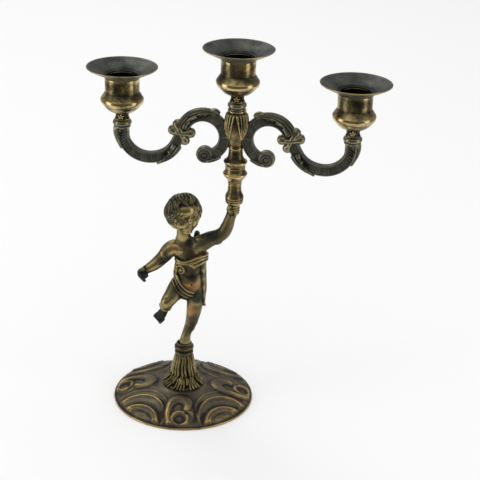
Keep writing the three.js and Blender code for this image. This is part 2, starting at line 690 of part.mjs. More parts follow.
function dripPan(bottom) {
  const top = bottom + panHeight;
  const throat = boreRadius + panWall;
  const at = (share) => throat + share * (panRadius - throat);
  return turned([
    [boreRadius, bottom], [throat + 0.6, bottom], [at(0.3), bottom + 0.24 * panHeight],
    [at(0.6), bottom + 0.48 * panHeight], [panRadius, top - panWall], [panRadius, top],
    [panRadius - 0.7, top - 0.5], [at(0.6), bottom + 0.48 * panHeight + panWall + 0.3],
    [throat, bottom + panWall + 0.4],
    [boreRadius, bottom + panWall], [boreRadius, bottom],
  ], corners.pan);
}

const lights = [['left', -1, armTop], ['center', 0, urnTop], ['right', 1, armTop]];

for (const [name, side, seat] of lights) {
  const group = groupAt(side * armReach);
  const bottom = cupBottomOver(seat);
  piece(`cup_ring_${name}`, collarRing(seat), finish.stem, group);
  piece(`candle_cup_${name}`, candleCup(bottom), finish.cup, group);
  piece(`drip_pan_${name}`, dripPan(bottom + cupHeight + seatGap), finish.pan, group);
  if (side === 0) continue;
  piece(`cup_stud_${name}`, rod(rodRadius, seat - rodGrip, bottom + rodGrip), finish.steel, group);
  piece(`scroll_arm_${name}`, scrollArm(side), finish.arm);
  piece(`arm_pin_${name}`, armPin(side), finish.steel);
}

export default candelabra;
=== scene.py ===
# Three-light table candelabra of cast and turned brass, carried by a standing putto.
# Everything is in metres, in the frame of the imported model: +X to the viewer's right, -Y to the front.

import bpy
import numpy as np
from math import cos, degrees, pi, radians, sin
from mathutils import Matrix, Vector


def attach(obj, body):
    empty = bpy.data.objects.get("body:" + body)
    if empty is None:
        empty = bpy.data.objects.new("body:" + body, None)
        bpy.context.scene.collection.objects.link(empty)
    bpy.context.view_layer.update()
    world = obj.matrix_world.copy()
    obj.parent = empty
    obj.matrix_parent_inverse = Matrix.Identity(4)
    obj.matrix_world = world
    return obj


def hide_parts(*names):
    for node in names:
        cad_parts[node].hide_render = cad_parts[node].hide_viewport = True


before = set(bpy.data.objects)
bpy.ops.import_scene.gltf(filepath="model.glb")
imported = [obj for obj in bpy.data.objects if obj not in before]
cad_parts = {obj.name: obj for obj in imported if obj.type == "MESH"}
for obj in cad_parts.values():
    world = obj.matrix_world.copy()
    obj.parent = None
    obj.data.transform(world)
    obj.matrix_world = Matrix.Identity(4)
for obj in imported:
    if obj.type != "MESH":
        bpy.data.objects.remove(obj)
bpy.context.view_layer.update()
MM = 0.001

# Camera: a long lens at a little over a metre, looking down on the table and turned slightly left.
# Its place was found from the ellipses of the foot and the three pans.
LENS = 104.5
SENSOR = 36.0
EYE = Vector((119.8, -930.7, 548.5)) * MM
LOOK_DOWN = radians(23.8)
TURN_LEFT = radians(7.016)
ROLL = radians(1.971)

forward = Vector((
    -sin(TURN_LEFT) * cos(LOOK_DOWN),
    cos(TURN_LEFT) * cos(LOOK_DOWN),
    -sin(LOOK_DOWN),
))
level = Vector((cos(TURN_LEFT), sin(TURN_LEFT), 0))
upright = level.cross(forward)
right = cos(ROLL) * level + sin(ROLL) * upright
up = cos(ROLL) * upright - sin(ROLL) * level
camera_data = bpy.data.cameras.new("camera")
camera_data.lens = LENS
camera_data.sensor_width = SENSOR
camera = bpy.data.objects.new("camera", camera_data)
camera.matrix_world = Matrix.Translation(EYE) @ Matrix((right, up, -forward)).transposed().to_4x4()
bpy.context.collection.objects.link(camera)
bpy.context.scene.camera = camera
bpy.context.scene.view_settings.view_transform = "Standard"


# Studio: a white table that ends in front of the object and a white room behind and beside it. Two tall
# soft boxes draw the bright stripes down the turned brass, and a third lamp shines from behind.
class Wire:
    """A socket in a shader, which arithmetic joins to others with Math nodes."""

    def __init__(self, tree, socket):
        self.tree = tree
        self.socket = socket

    def math(self, operation, *others, clamp=False):
        settings = {"operation": operation, "use_clamp": clamp}
        return node(self.tree, "Math", settings, {0: self, **dict(enumerate(others, 1))})

    def __add__(self, other): return self.math("ADD", other)
    def __radd__(self, other): return self.math("ADD", other)
    def __sub__(self, other): return self.math("SUBTRACT", other)
    def __rsub__(self, other): return (self * -1) + other
    def __mul__(self, other): return self.math("MULTIPLY", other)
    def __rmul__(self, other): return self.math("MULTIPLY", other)

    def most(self, other): return self.math("MAXIMUM", other)
    def clamped(self): return self.math("ADD", 0.0, clamp=True)

    def smooth(self, low, high):
        """0 below low, 1 above high, with soft ends; high may be the smaller."""
        values = {"Value": self, "From Min": low, "From Max": high}
        return node(self.tree, "MapRange", {"interpolation_type": "SMOOTHSTEP"}, values)


def node(tree, kind, settings=None, values=None, out=0):
    """Adds a shader node: its settings first, then the values or links of its sockets."""
    made = tree.nodes.new("ShaderNode" + kind)
    for key, value in (settings or {}).items():
        if key == "stops":
            elements = made.color_ramp.elements
            while len(elements) < len(value):
                elements.new(0.5)
            for stop, (place, colour) in zip(elements, value):
                stop.position = place
                stop.color = (*colour, 1)
        else:
            setattr(made, key, value)
    for key, value in (values or {}).items():
        if isinstance(value, Wire):
            tree.links.new(value.socket, made.inputs[key])
        else:
            made.inputs[key].default_value = value
    return Wire(tree, made.outputs[out])


def noise(tree, place, scale, detail=3, roughness=0.5):
    values = {"Vector": place, "Scale": scale, "Detail": detail, "Roughness": roughness}
    return node(tree, "TexNoise", values=values)


def ramp(tree, stops, share):
    return node(tree, "ValToRGB", {"stops": stops}, {0: share})


def new_material(name):
    material = bpy.data.materials.new(name)
    material.use_nodes = True
    tree = material.node_tree
    return material, tree, tree.nodes["Principled BSDF"]


def join_up(tree, shader, **wires):
    for key, wire in wires.items():
        tree.links.new(wire.socket, shader.inputs[key.replace("_", " ")])


def added(shape, **settings):
    """Adds a primitive mesh, alone in the selection."""
    bpy.ops.object.select_all(action="DESELECT")
    getattr(bpy.ops.mesh, f"primitive_{shape}_add")(**settings)
    return bpy.context.active_object


# The table ends just in front of the object and is narrow beside it, so that the brass doesn't mirror it
TABLE = ((-0.42, -0.26), (0.42, -0.26), (0.95, 2.4), (-0.95, 2.4))
table = added("plane", size=1)
table.name = "table"
for corner, (x, y) in zip((0, 1, 3, 2), TABLE):
    table.data.vertices[corner].co = (x, y, 0)
table_white, tree, shader = new_material("table_white")
for key, value in {
    "Base Color": (0.9, 0.9, 0.9, 1), "Roughness": 0.9, "Specular IOR Level": 0.1,
    "Emission Color": (1, 1, 1, 1), "Emission Strength": 0.06,
}.items():
    shader.inputs[key].default_value = value
table.data.materials.append(table_white)

# The room as the brass mirrors it: dark towards the camera, dim at the sides, light behind and above
ROOM_LEVEL = 0.86
FRONT_LEVEL = 0.12
SIDE_LEVEL = 0.16
BACK_LEVEL = 0.42
CEILING_LEVEL = 0.7
CAMERA_SIDE = (0.122, 0.993)    # how far the camera's side of the room lies along +X and along -Y
LAMP_AIM = Vector((0, 0, 0.14))
world = bpy.data.worlds.new("studio")
bpy.context.scene.world = world
world.use_nodes = True
tree = world.node_tree
tree.nodes.clear()
seen = node(tree, "LightPath")
rays = {name: Wire(tree, seen.socket.node.outputs[name])
        for name in ("Is Camera Ray", "Is Glossy Ray", "Is Transmission Ray")}
direction = node(tree, "TexCoord")
spread = node(tree, "SeparateXYZ", values={0: direction}).socket.node
toward_front = (Wire(tree, spread.outputs["X"]) * CAMERA_SIDE[0]
                - Wire(tree, spread.outputs["Y"]) * CAMERA_SIDE[1])
upward = Wire(tree, spread.outputs["Z"]).smooth(0.3, 0.85)
sheen = FRONT_LEVEL + (SIDE_LEVEL - FRONT_LEVEL) * toward_front.smooth(0.85, 0.3)
sheen = sheen + (BACK_LEVEL - SIDE_LEVEL) * toward_front.smooth(0.1, -0.9)
sheen = sheen + upward * (CEILING_LEVEL - sheen)
glossy = rays["Is Glossy Ray"].most(rays["Is Transmission Ray"])
strength = glossy * (sheen - ROOM_LEVEL) + ROOM_LEVEL
strength = rays["Is Camera Ray"].most(strength)
background = node(tree, "Background", values={"Color": (1, 1, 1, 1), "Strength": strength})
output = tree.nodes.new("ShaderNodeOutputWorld")
tree.links.new(background.socket, output.inputs["Surface"])


def soft_box(name, azimuth, distance, height, wide, tall, power):
    """A lamp panel facing the middle of the object; azimuth is from the front, towards +X."""
    data = bpy.data.lights.new(name, "AREA")
    data.shape = "RECTANGLE"
    data.size, data.size_y = wide, tall
    data.energy = power
    lamp = bpy.data.objects.new(name, data)
    turn = radians(azimuth)
    lamp.location = (distance * sin(turn), -distance * cos(turn), height)
    aim = LAMP_AIM - lamp.location
    lamp.rotation_euler = aim.to_track_quat("-Z", "Y").to_euler()
    bpy.context.collection.objects.link(lamp)


soft_box("soft_box_left", -66, 0.9, 0.16, 0.42, 1.1, 2.6)
soft_box("soft_box_right", 74, 0.9, 0.16, 0.4, 1.1, 2.0)
soft_box("key_from_behind", -145, 1.2, 1.5, 0.8, 0.8, 4)


# Foot: a thin dome of sand-cast brass, hollow beneath, with a band of fans and scrolls round its slope.
# It is patinated dark olive, and the lines that stand highest are rubbed back to the metal.
FOOT_AXIS = -35.0
FOOT_RADIUS = 53.5
FOOT_CROWN = 11.3
FOOT_WALL = 2.2
RIM_HEIGHT = 1.2
RIM_WIDTH = 3.0
TIE_HOLE = 1.9
SKIRT_SEAT = 16.9
FIRST_SCROLL = 8.0              # degrees from the front
FANS_PER_FOOT = 4
FAR_LOSS = 0.4                  # share of the relief that the far side lacks
# Places in the ornament: out from the axis, and across it
MOON = (62, 8)
RIB = (53.5, 4)
FAN = (48.5, 0)
SCROLL_MIDDLE = (38, 0)
CURL = (45.6, -1.4)
NOTCH = (41.2, 3.4)
TAIL = (47, 0.4)
OVAL = (40, -1)                 # round the whole scroll, with its half sizes
OVAL_SIZE = (13, 9.6)


def sharp(*points):
    """The points of a line that are corners, each given twice."""
    return [point for point in points for _ in range(2)]


def lengths(rows):
    return np.linalg.norm(rows, axis=1)


def flowing(points, step):
    """A smooth line through the points, about step apart. A point that is given twice makes a corner."""
    points = np.array(points, float)
    places = points[:, :3]
    breaks = 1 + np.flatnonzero((places[1:] == places[:-1]).all(axis=1))
    pieces = []
    for run in np.split(points, breaks):
        if len(run) == 1:
            pieces.append(run)
            continue
        gaps = lengths(np.diff(run[:, :3], axis=0))
        reach = np.concatenate([[0], np.cumsum(gaps)])
        slope = np.gradient(run, reach, axis=0)
        at = np.linspace(0, reach[-1], max(1, round(reach[-1] / step)) + 1)
        i = np.clip(np.searchsorted(reach, at, side="right") - 1, 0, len(run) - 2)
        gap = (reach[i + 1] - reach[i])[:, None]
        t = (at - reach[i])[:, None] / gap
        pieces.append(
            (2 * t**3 - 3 * t**2 + 1) * run[i] + (t**3 - 2 * t**2 + t) * gap * slope[i]
            + (3 * t**2 - 2 * t**3) * run[i + 1] + (t**3 - t**2) * gap * slope[i + 1]
        )
    return np.vstack(pieces)


def turned(name, profile, axis=0.0, around=96):
    """Draws a profile of (radius, height) in mm, point by point, and spins it round an upright axis, in
    so many steps around."""
    line = [Vector((axis + radius, 0, height)) * MM for radius, height in profile]
    made = added("plane", size=MM)
    made.name = name
    bpy.ops.object.mode_set(mode="EDIT")
    bpy.ops.mesh.merge(type="CENTER")
    bpy.ops.transform.translate(value=line[0])
    for before, after in zip(line, line[1:]):
        bpy.ops.mesh.extrude_region_move(TRANSFORM_OT_translate={"value": after - before})
    bpy.ops.mesh.select_all(action="SELECT")
    bpy.ops.mesh.spin(steps=around, angle=2 * pi, center=(axis * MM, 0, 0), axis=(0, 0, 1))
    tidied(made)
    return made


def tidied(made):
    """Closes seams and poles, and turns every face outwards."""
    bpy.ops.object.mode_set(mode="EDIT")
    bpy.ops.mesh.select_all(action="SELECT")
    bpy.ops.mesh.remove_doubles(threshold=0.002 * MM)
    bpy.ops.mesh.normals_make_consistent(inside=False)
    bpy.ops.object.mode_set(mode="OBJECT")
    bpy.ops.object.shade_smooth()


def stored(piece, what):
    """What the vertices of a piece hold: co is their place in metres, normal the way they face."""
    values = np.empty(3 * len(piece.data.vertices))
    piece.data.vertices.foreach_get(what, values)
    return values.reshape(-1, 3)


def spots_of(piece):
    return stored(piece, "co") / MM


def move_spots(piece, spots):
    piece.data.vertices.foreach_set("co", (spots * MM).ravel())
    piece.data.update()


def step_up(value, low, high):
    """0 below low and 1 above high, with soft ends."""
    share = np.clip((value - low) / (high - low), 0, 1)
    return share * share * (3 - 2 * share)


def ridge(away, width, height):
    return height * np.exp(-((away / width) ** 2))


def apart(u, v, place):
    return np.hypot(u - place[0], v - place[1])


def radius_of(spots, axis):
    """How far spots lie from an upright axis, given by its x."""
    return apart(spots[:, 0], spots[:, 1], (axis, 0))


def fan_rise(u, v):
    """A fan of curved ribs round a plain half moon; u runs out from the axis, v towards a scroll."""
    moon, rib, edge = apart(u, v, MOON), apart(u, v, RIB), apart(u, v, FAN)
    swell = 1.5 * step_up(24.5 - edge, 0, 9)
    hollow = ridge(rib - 24.6, 1.3, -0.5) + ridge(moon - 23.4, 1.6, -0.9)
    lines = ridge(moon - 17.2, 0.85, 1.2) + ridge(moon - 19.9, 1.1, 1.3) + ridge(rib - 22, 1.1, 1.0)
    moon_face = 0.35 * step_up(16.2 - moon, 0, 1) - 0.7 * step_up(18 - moon, 0, 1)
    grain = 0.12 * np.sin(2.6 * u + 1.1 * v) * step_up(15.5 - moon, 0, 1)
    return swell + hollow + lines + moon_face + grain + ridge(edge - 24, 0.75, 0.75)


# The scroll's thick line: u out from the axis, v across and half its width
SCROLL_LINE = flowing([
    (51.5, -7.7, 0, 1.6), (48, -9.8, 0, 2.0), (43, -10.8, 0, 2.3), (37, -10.4, 0, 2.7), (31, -8.8, 0, 3.4),
    (26.5, -5.4, 0, 4.4), (25.4, -1.8, 0, 4.9), (27, 1.8, 0, 4.6), (30.5, 4.0, 0, 3.8), (34.5, 4.2, 0, 3.0),
    (36.6, 3.2, 0, 2.2),
], 0.8)


def nearest(u, v, line):
    """Distance to a thick line, as a share of its half width there."""
    return np.min([np.hypot(u - a, v - b) / half for a, b, _, half in line], axis=0)


def scroll_rise(u, v):
    thick = nearest(u, v, SCROLL_LINE)
    ring = apart(u, v, CURL)
    band = 2.3 * np.sqrt(np.clip(1 - thick**2, 0, 1)) + ridge(thick - 0.86, 0.12, 0.35)
    curl = ridge(ring - 5.9, 1.15, 1.5) + ridge(ring, 1.8, 0.25) - 0.4 * step_up(-ring, -5, -3)
    notch = ridge(apart(u, v, NOTCH), 1.4, -1.2)
    tail = ridge(apart(u, v, TAIL) - 9.6, 0.9, 0.9) * step_up(v, 1.3, 4.8)
    return np.maximum(band, 0.45 + curl + tail) + notch


def ornament_rise(x, y):
    """How far the ornament stands out of the dome, x and y mm from the foot's axis."""
    radius = np.hypot(x, y)
    angle = np.arctan2(x, -y)
    rise = np.zeros_like(radius)
    scroll_share = np.zeros_like(radius)
    scrolls = np.zeros_like(radius)
    for i in range(FANS_PER_FOOT):
        turn = angle - radians(FIRST_SCROLL + 90 * i)
        u, v = radius * np.cos(turn), radius * np.sin(turn)
        near = apart(u, v, SCROLL_MIDDLE) < 30
        share = step_up(-nearest(u[near], v[near], SCROLL_LINE), -1.35, -1.05)
        out_of_it = np.hypot((u[near] - OVAL[0]) / OVAL_SIZE[0], (v[near] - OVAL[1]) / OVAL_SIZE[1])
        inside = step_up(-out_of_it, -1.15, -0.95)
        scroll_share[near] = np.maximum(scroll_share[near], np.maximum(share, inside))
        scrolls[near] = np.maximum(scrolls[near], scroll_rise(u[near], v[near]))
        turn = (-1) ** i * (angle - radians(FIRST_SCROLL + 90 * i - 45))
        u, v = radius * np.cos(turn), radius * np.sin(turn)
        rise = np.maximum(rise, np.where(u > 0, fan_rise(u, v), 0))
    rise = rise * (1 - scroll_share) + scrolls * scroll_share
    rise = rise * step_up(radius, 17, 19.5) * step_up(-radius, -52.6, -50)
    return rise * (1 - FAR_LOSS * step_up(y, 5, 35))


def dome_height(radius):
    seat = 0.45 * step_up(-radius, -21, -SKIRT_SEAT)
    fall = (FOOT_CROWN - RIM_HEIGHT) * (radius / FOOT_RADIUS) ** 2.7
    return np.minimum(FOOT_CROWN, FOOT_CROWN - fall + seat)


outside = [(TIE_HOLE, FOOT_CROWN), (8, FOOT_CROWN)]
outside += [(r, float(dome_height(r))) for r in np.arange(12, FOOT_RADIUS + 0.01, 0.4)]
rim_inside = FOOT_RADIUS - RIM_WIDTH
rim = [(FOOT_RADIUS, 0.3), (FOOT_RADIUS - 0.3, 0), (rim_inside, 0), (rim_inside, 0.2)]
underside = [(r, float(dome_height(r)) - FOOT_WALL) for r in (49, 45, 40, 34, 27, 20, 12)]
hole = [(TIE_HOLE, FOOT_CROWN - FOOT_WALL), (TIE_HOLE, FOOT_CROWN)]
foot = turned("foot", outside + rim + underside + hole, FOOT_AXIS, 420)
spots = spots_of(foot)
radius = radius_of(spots, FOOT_AXIS)
on_top = spots[:, 2] > dome_height(radius) - 0.5
spots[on_top, 2] += ornament_rise(spots[on_top, 0] - FOOT_AXIS, spots[on_top, 1])
move_spots(foot, spots)


def mark_wear_and_shade(piece, reach, strength, darkened_by=None):
    """Stores how far each spot stands out of the surface round it, which is what hands rub bright. The last
    argument is a function of the spots in mm that says how much darker they are made: on the cups, painted
    shade in the bores and under the sockets."""
    mesh = piece.data
    spots = spots_of(piece)
    ends = np.empty(2 * len(mesh.edges), np.int64)
    mesh.edges.foreach_get("vertices", ends)
    a, b = ends.reshape(-1, 2).T
    step = np.median(lengths(spots[a] - spots[b]))
    count = len(spots)
    share = np.bincount(a, minlength=count) + np.bincount(b, minlength=count)
    soft = spots.copy()
    for _ in range(int(np.clip(2 * (reach / step) ** 2, 6, 160))):
        sums = [np.bincount(a, soft[b, k], count) + np.bincount(b, soft[a, k], count) for k in range(3)]
        soft = np.stack(sums, axis=1) / np.maximum(share, 1)[:, None]
    worn = 0.5 + strength * ((spots - soft) * stored(piece, "normal")).sum(axis=1)
    if darkened_by:
        worn -= darkened_by(spots)
    mark = mesh.attributes.new("worn", "FLOAT", "POINT")
    mark.data.foreach_set("value", np.clip(worn, 0, 1).astype(np.float32))


def brass_grain(name, scale, roughness):
    """Starts a brass: a new material with slow clouds of tarnish, fine specks and its stored wear, which on
    the cups also holds painted shade in the bores and under the sockets.
    """
    material, tree, shader = new_material(name)
    place = node(tree, "TexCoord", out=3)
    worn = node(tree, "Attribute", {"attribute_name": "worn"}, out=2)
    clouds = noise(tree, place, scale, 5, roughness)
    return material, tree, shader, place, worn, clouds, noise(tree, place, 900)


def old_brass(name, stops, bare=0.5, patch=0.35, rough=(0.52, 0.3), pits=0.1, cover=0.75):
    """Patinated brass: stops run from the dirt in its hollows to its rubbed ridges, bare is the wear
    halfway up them, patch how much the colour wanders and cover how metallic the patina still is."""
    material, tree, shader, _, worn, clouds, specks = brass_grain(name, 85, 0.6)
    shine = (worn - 0.5) + bare + patch * 2 * (clouds - 0.5) + 0.16 * (specks - 0.5)
    colour = ramp(tree, stops, shine.clamped())
    polish = shine.smooth(0.25, 0.8)
    roughness = rough[0] + (rough[1] - rough[0]) * polish + 0.14 * (clouds - 0.5)
    bump = node(tree, "Bump", values={"Height": specks + clouds, "Strength": pits, "Distance": 0.0004})
    join_up(tree, shader, Base_Color=colour, Roughness=roughness, Metallic=cover + (1 - cover) * polish,
            Normal=bump)
    return material


def finished(piece, material, body, slot, *nodes, reach=1.2, strength=0.6, darkened_by=None):
    """Gives a piece its wear, with any darkening (on the cups that is painted shade), its material and its
    place in the assembly.
    """
    mark_wear_and_shade(piece, reach, strength, darkened_by)
    piece.data.materials.clear()
    piece.data.materials.append(material)
    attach(piece, body)
    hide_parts(*nodes)


foot_brass = old_brass("foot_brass", [
    (0.15, (0.026, 0.023, 0.017)), (0.42, (0.105, 0.089, 0.061)), (0.68, (0.165, 0.126, 0.066)),
    (0.88, (0.46, 0.31, 0.11)),
], bare=0.42, patch=0.5, rough=(0.5, 0.32))
# The back half of the foot is made a little darker, and the band just inside the rim much darker.
finished(foot, foot_brass, "stand", "base_brass", "base_dome", reach=1.6, strength=0.72,
         darkened_by=lambda spots: 0.09 * step_up(spots[:, 1], 0, 30)
         + 0.6 * step_up(radius_of(spots, FOOT_AXIS), 50.8, 52.6))


# Tassel: a cast knot of cords that carries the figure, one long tier over a short fringe that splays
# on the dome. Over it sit two turned rings with a lip for the sole. Nut, washer, rods and pins are steel.
LONG_CORDS = 20
FRINGE_BUNDLES = 7


def drawn(name, stations, sides=20, step=0.5, facing=(0, 1, 0), point=0.95):
    """A closed form drawn through stations of (x, y, z, half width, half depth) in mm, with round ends.
    The depth lies towards facing, a direction or a function that gives one for each place."""
    line = flowing([s if len(s) == 5 else (*s, s[3]) for s in stations], step)
    along = np.gradient(line[:, :3], axis=0)
    along /= lengths(along)[:, None]
    toward = facing(line[:, :3]) if callable(facing) else np.array([facing] * len(line), float)
    deep = toward - (toward * along).sum(axis=1)[:, None] * along
    deep /= lengths(deep)[:, None]
    wide = np.cross(deep, along)
    dips = np.radians([90, 72, 54, 36, 18])
    rows = []
    ends = [(0, -tilt) for tilt in dips], [(-1, tilt) for tilt in dips[::-1]]
    for k, tilt in [*ends[0], *((k, 0) for k in range(len(line))), *ends[1]]:
        reach = point * min(line[k, 3:5]) * sin(tilt)
        rows.append((line[k, :3] + reach * along[k], *(line[k, 3:5] * cos(tilt)), wide[k], deep[k]))
    turns = np.linspace(0, 2 * pi, sides + 1)
    made = added("grid", x_subdivisions=sides, y_subdivisions=len(rows) - 1, size=MM)
    made.name = name
    spots = [
        middle + across * cos(turn) * side + depth * sin(turn) * front
        for middle, across, depth, side, front in rows for turn in turns
    ]
    move_spots(made, np.array(spots))
    tidied(made)
    return made


def copied(piece, turn=0.0, axis=(0.0, 0.0), lift=0.0):
    """A copy with its own mesh, turned by some degrees round an upright axis and lifted, in mm."""
    twin = piece.copy()
    twin.data = piece.data.copy()
    bpy.context.collection.objects.link(twin)
    hub = Vector((*axis, 0)) * MM
    put_back = Matrix.Translation(hub + Vector((0, 0, lift * MM)))
    twin.data.transform(put_back @ Matrix.Rotation(radians(turn), 4, "Z") @ Matrix.Translation(-hub))
    return twin


def chosen(*pieces):
    """Selects these pieces alone, with the first one active."""
    bpy.ops.object.select_all(action="DESELECT")
    for piece in pieces:
        piece.select_set(True)
    bpy.context.view_layer.objects.active = pieces[0]


def joined(name, parts):
    chosen(*parts)
    bpy.ops.object.join()
    parts[0].name = name
    parts[0].data.name = name
    return parts[0]


def radial(stations):
    """Stations of (radius, sway, height, half width, half depth) placed to the right of the foot's axis."""
    return [(FOOT_AXIS + radius, sway, height, wide, deep) for radius, sway, height, wide, deep in stations]


hub = (FOOT_AXIS, 0.0)
outwards = (1, 0, 0.4)
long_cord = drawn("long_cord", radial([
    (6.2, 0, 36.2, 0.6, 0.8), (6.9, 0.2, 32.5, 0.75, 1.0), (7.7, -0.2, 28, 0.85, 1.15),
    (8.7, 0.2, 23.5, 0.95, 1.25), (9.2, 0.4, 20.4, 0.9, 1.1), (9.5, 0.2, 19, 0.6, 0.8),
]), 12, 0.9, outwards)
fringe_cord = drawn("fringe_cord", radial([
    (8.4, 0, 18.4, 0.8, 0.8), (10.2, 0.2, 15.9, 0.85, 0.9), (12.6, 0.2, 13.9, 0.85, 0.9),
    (14.3, -0.1, 12.9, 0.85, 0.9), (15.1, -0.2, 12.5, 0.75, 0.75),
]), 12, 0.8, (1, 0, 1))
upper_cord = drawn("upper_cord", radial([
    (8.4, 0, 19.4, 0.7, 0.7), (9.9, 0.3, 17.9, 0.75, 0.75), (11.6, 0.1, 16.2, 0.75, 0.75),
    (12.8, 0, 15.3, 0.6, 0.6),
]), 12, 0.8, (1, 0, 1))
cords = [copied(long_cord, 360 * i / LONG_CORDS + (1.5 if i % 2 else -1), hub, 0.5 * (i % 3) - 0.5)
         for i in range(LONG_CORDS)]
for bundle in range(FRINGE_BUNDLES):
    middle = 8 + 360 * bundle / FRINGE_BUNDLES
    cords += [copied(fringe_cord, middle + across, hub, -0.25 * abs(across) / 15)
              for across in (-15, -5, 5, 15)]
    cords += [copied(upper_cord, middle + across, hub, 0.4 * (bundle % 2)) for across in (-24, 0)]
core = turned("core", [
    (TIE_HOLE, 36.5), (6.0, 36.5), (6.2, 32), (6.8, 27), (7.6, 21), (7.8, 18.6), (8.8, 15.8), (12.0, 12.9),
    (14.2, 11.9), (14.2, 11.6), (TIE_HOLE, 11.6), (TIE_HOLE, 36.5),
], FOOT_AXIS, 64)
tassel = joined("tassel", [core, *cords])
for model in (long_cord, fringe_cord, upper_cord):
    bpy.data.objects.remove(model)
tassel_brass = old_brass("tassel_brass", [
    (0.2, (0.010, 0.009, 0.006)), (0.5, (0.046, 0.041, 0.025)), (0.72, (0.13, 0.105, 0.05)),
    (0.95, (0.42, 0.34, 0.15)),
], bare=0.31, patch=0.35, rough=(0.5, 0.32))
finished(tassel, tassel_brass, "stand", "base_brass", "tassel_skirt", reach=1.2, strength=1.1)

collar = turned("collar", flowing([
    *sharp((TIE_HOLE, 36.8)), (6.2, 36.8), (6.9, 37.3), (7.15, 38.2), (6.9, 39.2), *sharp((6.3, 39.9)),
    (7.0, 40.6), (7.4, 41.8), (7.4, 42.9), (6.9, 43.9), *sharp((6.0, 44.3)), (6.0, 45.4), (5.7, 46),
    (5.1, 46), (4.8, 45.6), *sharp((4.8, 44.4), (TIE_HOLE, 44.4)), (TIE_HOLE, 36.8),
], 0.4), FOOT_AXIS)
finished(collar, tassel_brass, "stand", "base_brass", "skirt_collar", reach=2, strength=0.5)

steel, tree, shader = new_material("steel")
place = node(tree, "TexCoord", out=3)
scratches = noise(tree, place, 700, 4)
tone = ramp(tree, [(0.3, (0.16, 0.15, 0.14)), (0.7, (0.42, 0.41, 0.39))], scratches)
join_up(tree, shader, Base_Color=tone, Roughness=0.25 + 0.3 * scratches)
shader.inputs["Metallic"].default_value = 1
for name in ("base_nut", "base_washer", "tie_rod", "stem_rod", "cup_stud_left", "cup_stud_right",
             "arm_pin_left", "arm_pin_right"):
    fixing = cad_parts[name]
    fixing.data.materials.clear()
    fixing.data.materials.append(steel)


# Putto's body: trunk and legs in one brass casting, with a sash twisted round the chest, cloth over the
# belly and behind the hips, and a fall of it down the figure's left side. The standing foot sits in the
# collar's lip.
SOLE = 44.7
TIE_GRIP = 5.3
BODY_GRAIN = 0.36


def on_sole(stations):
    """Stations measured from the foot's axis and from the sole, in mm."""
    return [(FOOT_AXIS + x, y, SOLE + z, *sizes) for x, y, z, *sizes in stations]


def limb(stations, sides=28, step=0.8, facing=(0, 1, 0)):
    return drawn("limb", on_sole(stations), sides, step, facing)


def shift(x, y, z):
    """The matrix that moves by so many mm."""
    return Matrix.Translation(Vector((x, y, z)) * MM)


def egg(x, y, z, long, wide, tall, turn=0.0):
    """An egg in mm with its own three half sizes, turned by some degrees round the upright."""
    made = added("uv_sphere", segments=32, ring_count=20, radius=MM)
    turned_by = Matrix.Rotation(radians(turn), 4, "Z")
    made.data.transform(shift(x, y, z) @ turned_by @ Matrix.Diagonal((long, wide, tall, 1)))
    return made


def eggs_on_sole(*eggs):
    """Eggs whose middles are measured as the limbs' stations are."""
    return [egg(*placed) for placed in on_sole(eggs)]


def ribbons(lines, inwards, share, thick):
    """Bands of cloth that lie on the body, each through places with its half height there."""
    return [limb([(x, inwards * y, z, share * high, thick) for x, y, z, high in line], 14, 0.6, outward)
            for line in lines]


def modified(piece, kind, **settings):
    """Gives a piece a modifier of that kind and applies it."""
    chosen(piece)
    modifier = piece.modifiers.new(kind, kind)
    for key, value in settings.items():
        setattr(modifier, key, value)
    bpy.ops.object.modifier_apply(modifier=kind)


def fused(name, parts, grain, rounds):
    """Melts overlapping parts into one skin with faces of that grain in mm, and softens it."""
    skin = joined(name, parts)
    modified(skin, "REMESH", mode="VOXEL", voxel_size=grain * MM)
    modified(skin, "SMOOTH", factor=0.5, iterations=rounds)
    bpy.ops.object.shade_smooth()
    return skin


def cast(name, flesh, details, grain, rounds):
    """Melts the flesh softly together first, and then the crisper details with it."""
    return fused(name, [fused("flesh", flesh, grain, rounds), *details], grain, 2)


def drilled(piece, x, y, radius, low, high):
    """Cuts away a round hole or a flat end between two heights."""
    drill = added("cylinder", vertices=64, radius=radius * MM, depth=(high - low) * MM)
    drill.data.transform(shift(x, y, (low + high) / 2))
    modified(piece, "BOOLEAN", operation="DIFFERENCE", solver="EXACT", object=drill)
    bpy.data.objects.remove(drill)


def pressed(piece, lines):
    """Presses creases into a skin, each a line of points with its width and depth in mm."""
    spots = spots_of(piece)
    push = np.zeros(len(spots))
    for width, depth, points in lines:
        line = flowing(on_sole(points), 0.5)
        reach = np.ptp(line, axis=0).max() + width
        near = np.flatnonzero(np.abs(spots - line.mean(axis=0)).max(axis=1) < reach)
        away = np.min([lengths(spots[near] - place) for place in line], axis=0)
        push[near] += depth * step_up(-away, -width, 0)
    move_spots(piece, spots - push[:, None] * stored(piece, "normal"))


def painted(piece, grounds, patches):
    """Stores the tone, warmth and darkness of each spot, which hold painted light and shade along with the
    metal's own colour: grounds is one value or one for each spot, and a patch is x, y, z over the sole, its
    radius and what it adds."""
    spots = spots_of(piece) - np.array([FOOT_AXIS, 0, SOLE])
    paint = np.zeros((len(spots), 3)) + grounds
    for x, y, z, radius, *more in patches:
        share = step_up(-lengths(spots - np.array([x, y, z])), -radius, -0.3 * radius)
        paint += share[:, None] * np.array(more)
    mark = piece.data.attributes.new("paint", "FLOAT_VECTOR", "POINT")
    mark.data.foreach_set("vector", paint.astype(np.float32).ravel())


def outward(places):
    """From the upright line inside the chest towards each place, for bands that lie on the body."""
    away = places - np.array([FOOT_AXIS + 3.5, 0, 0])
    return away * np.array([1, 1, 0])


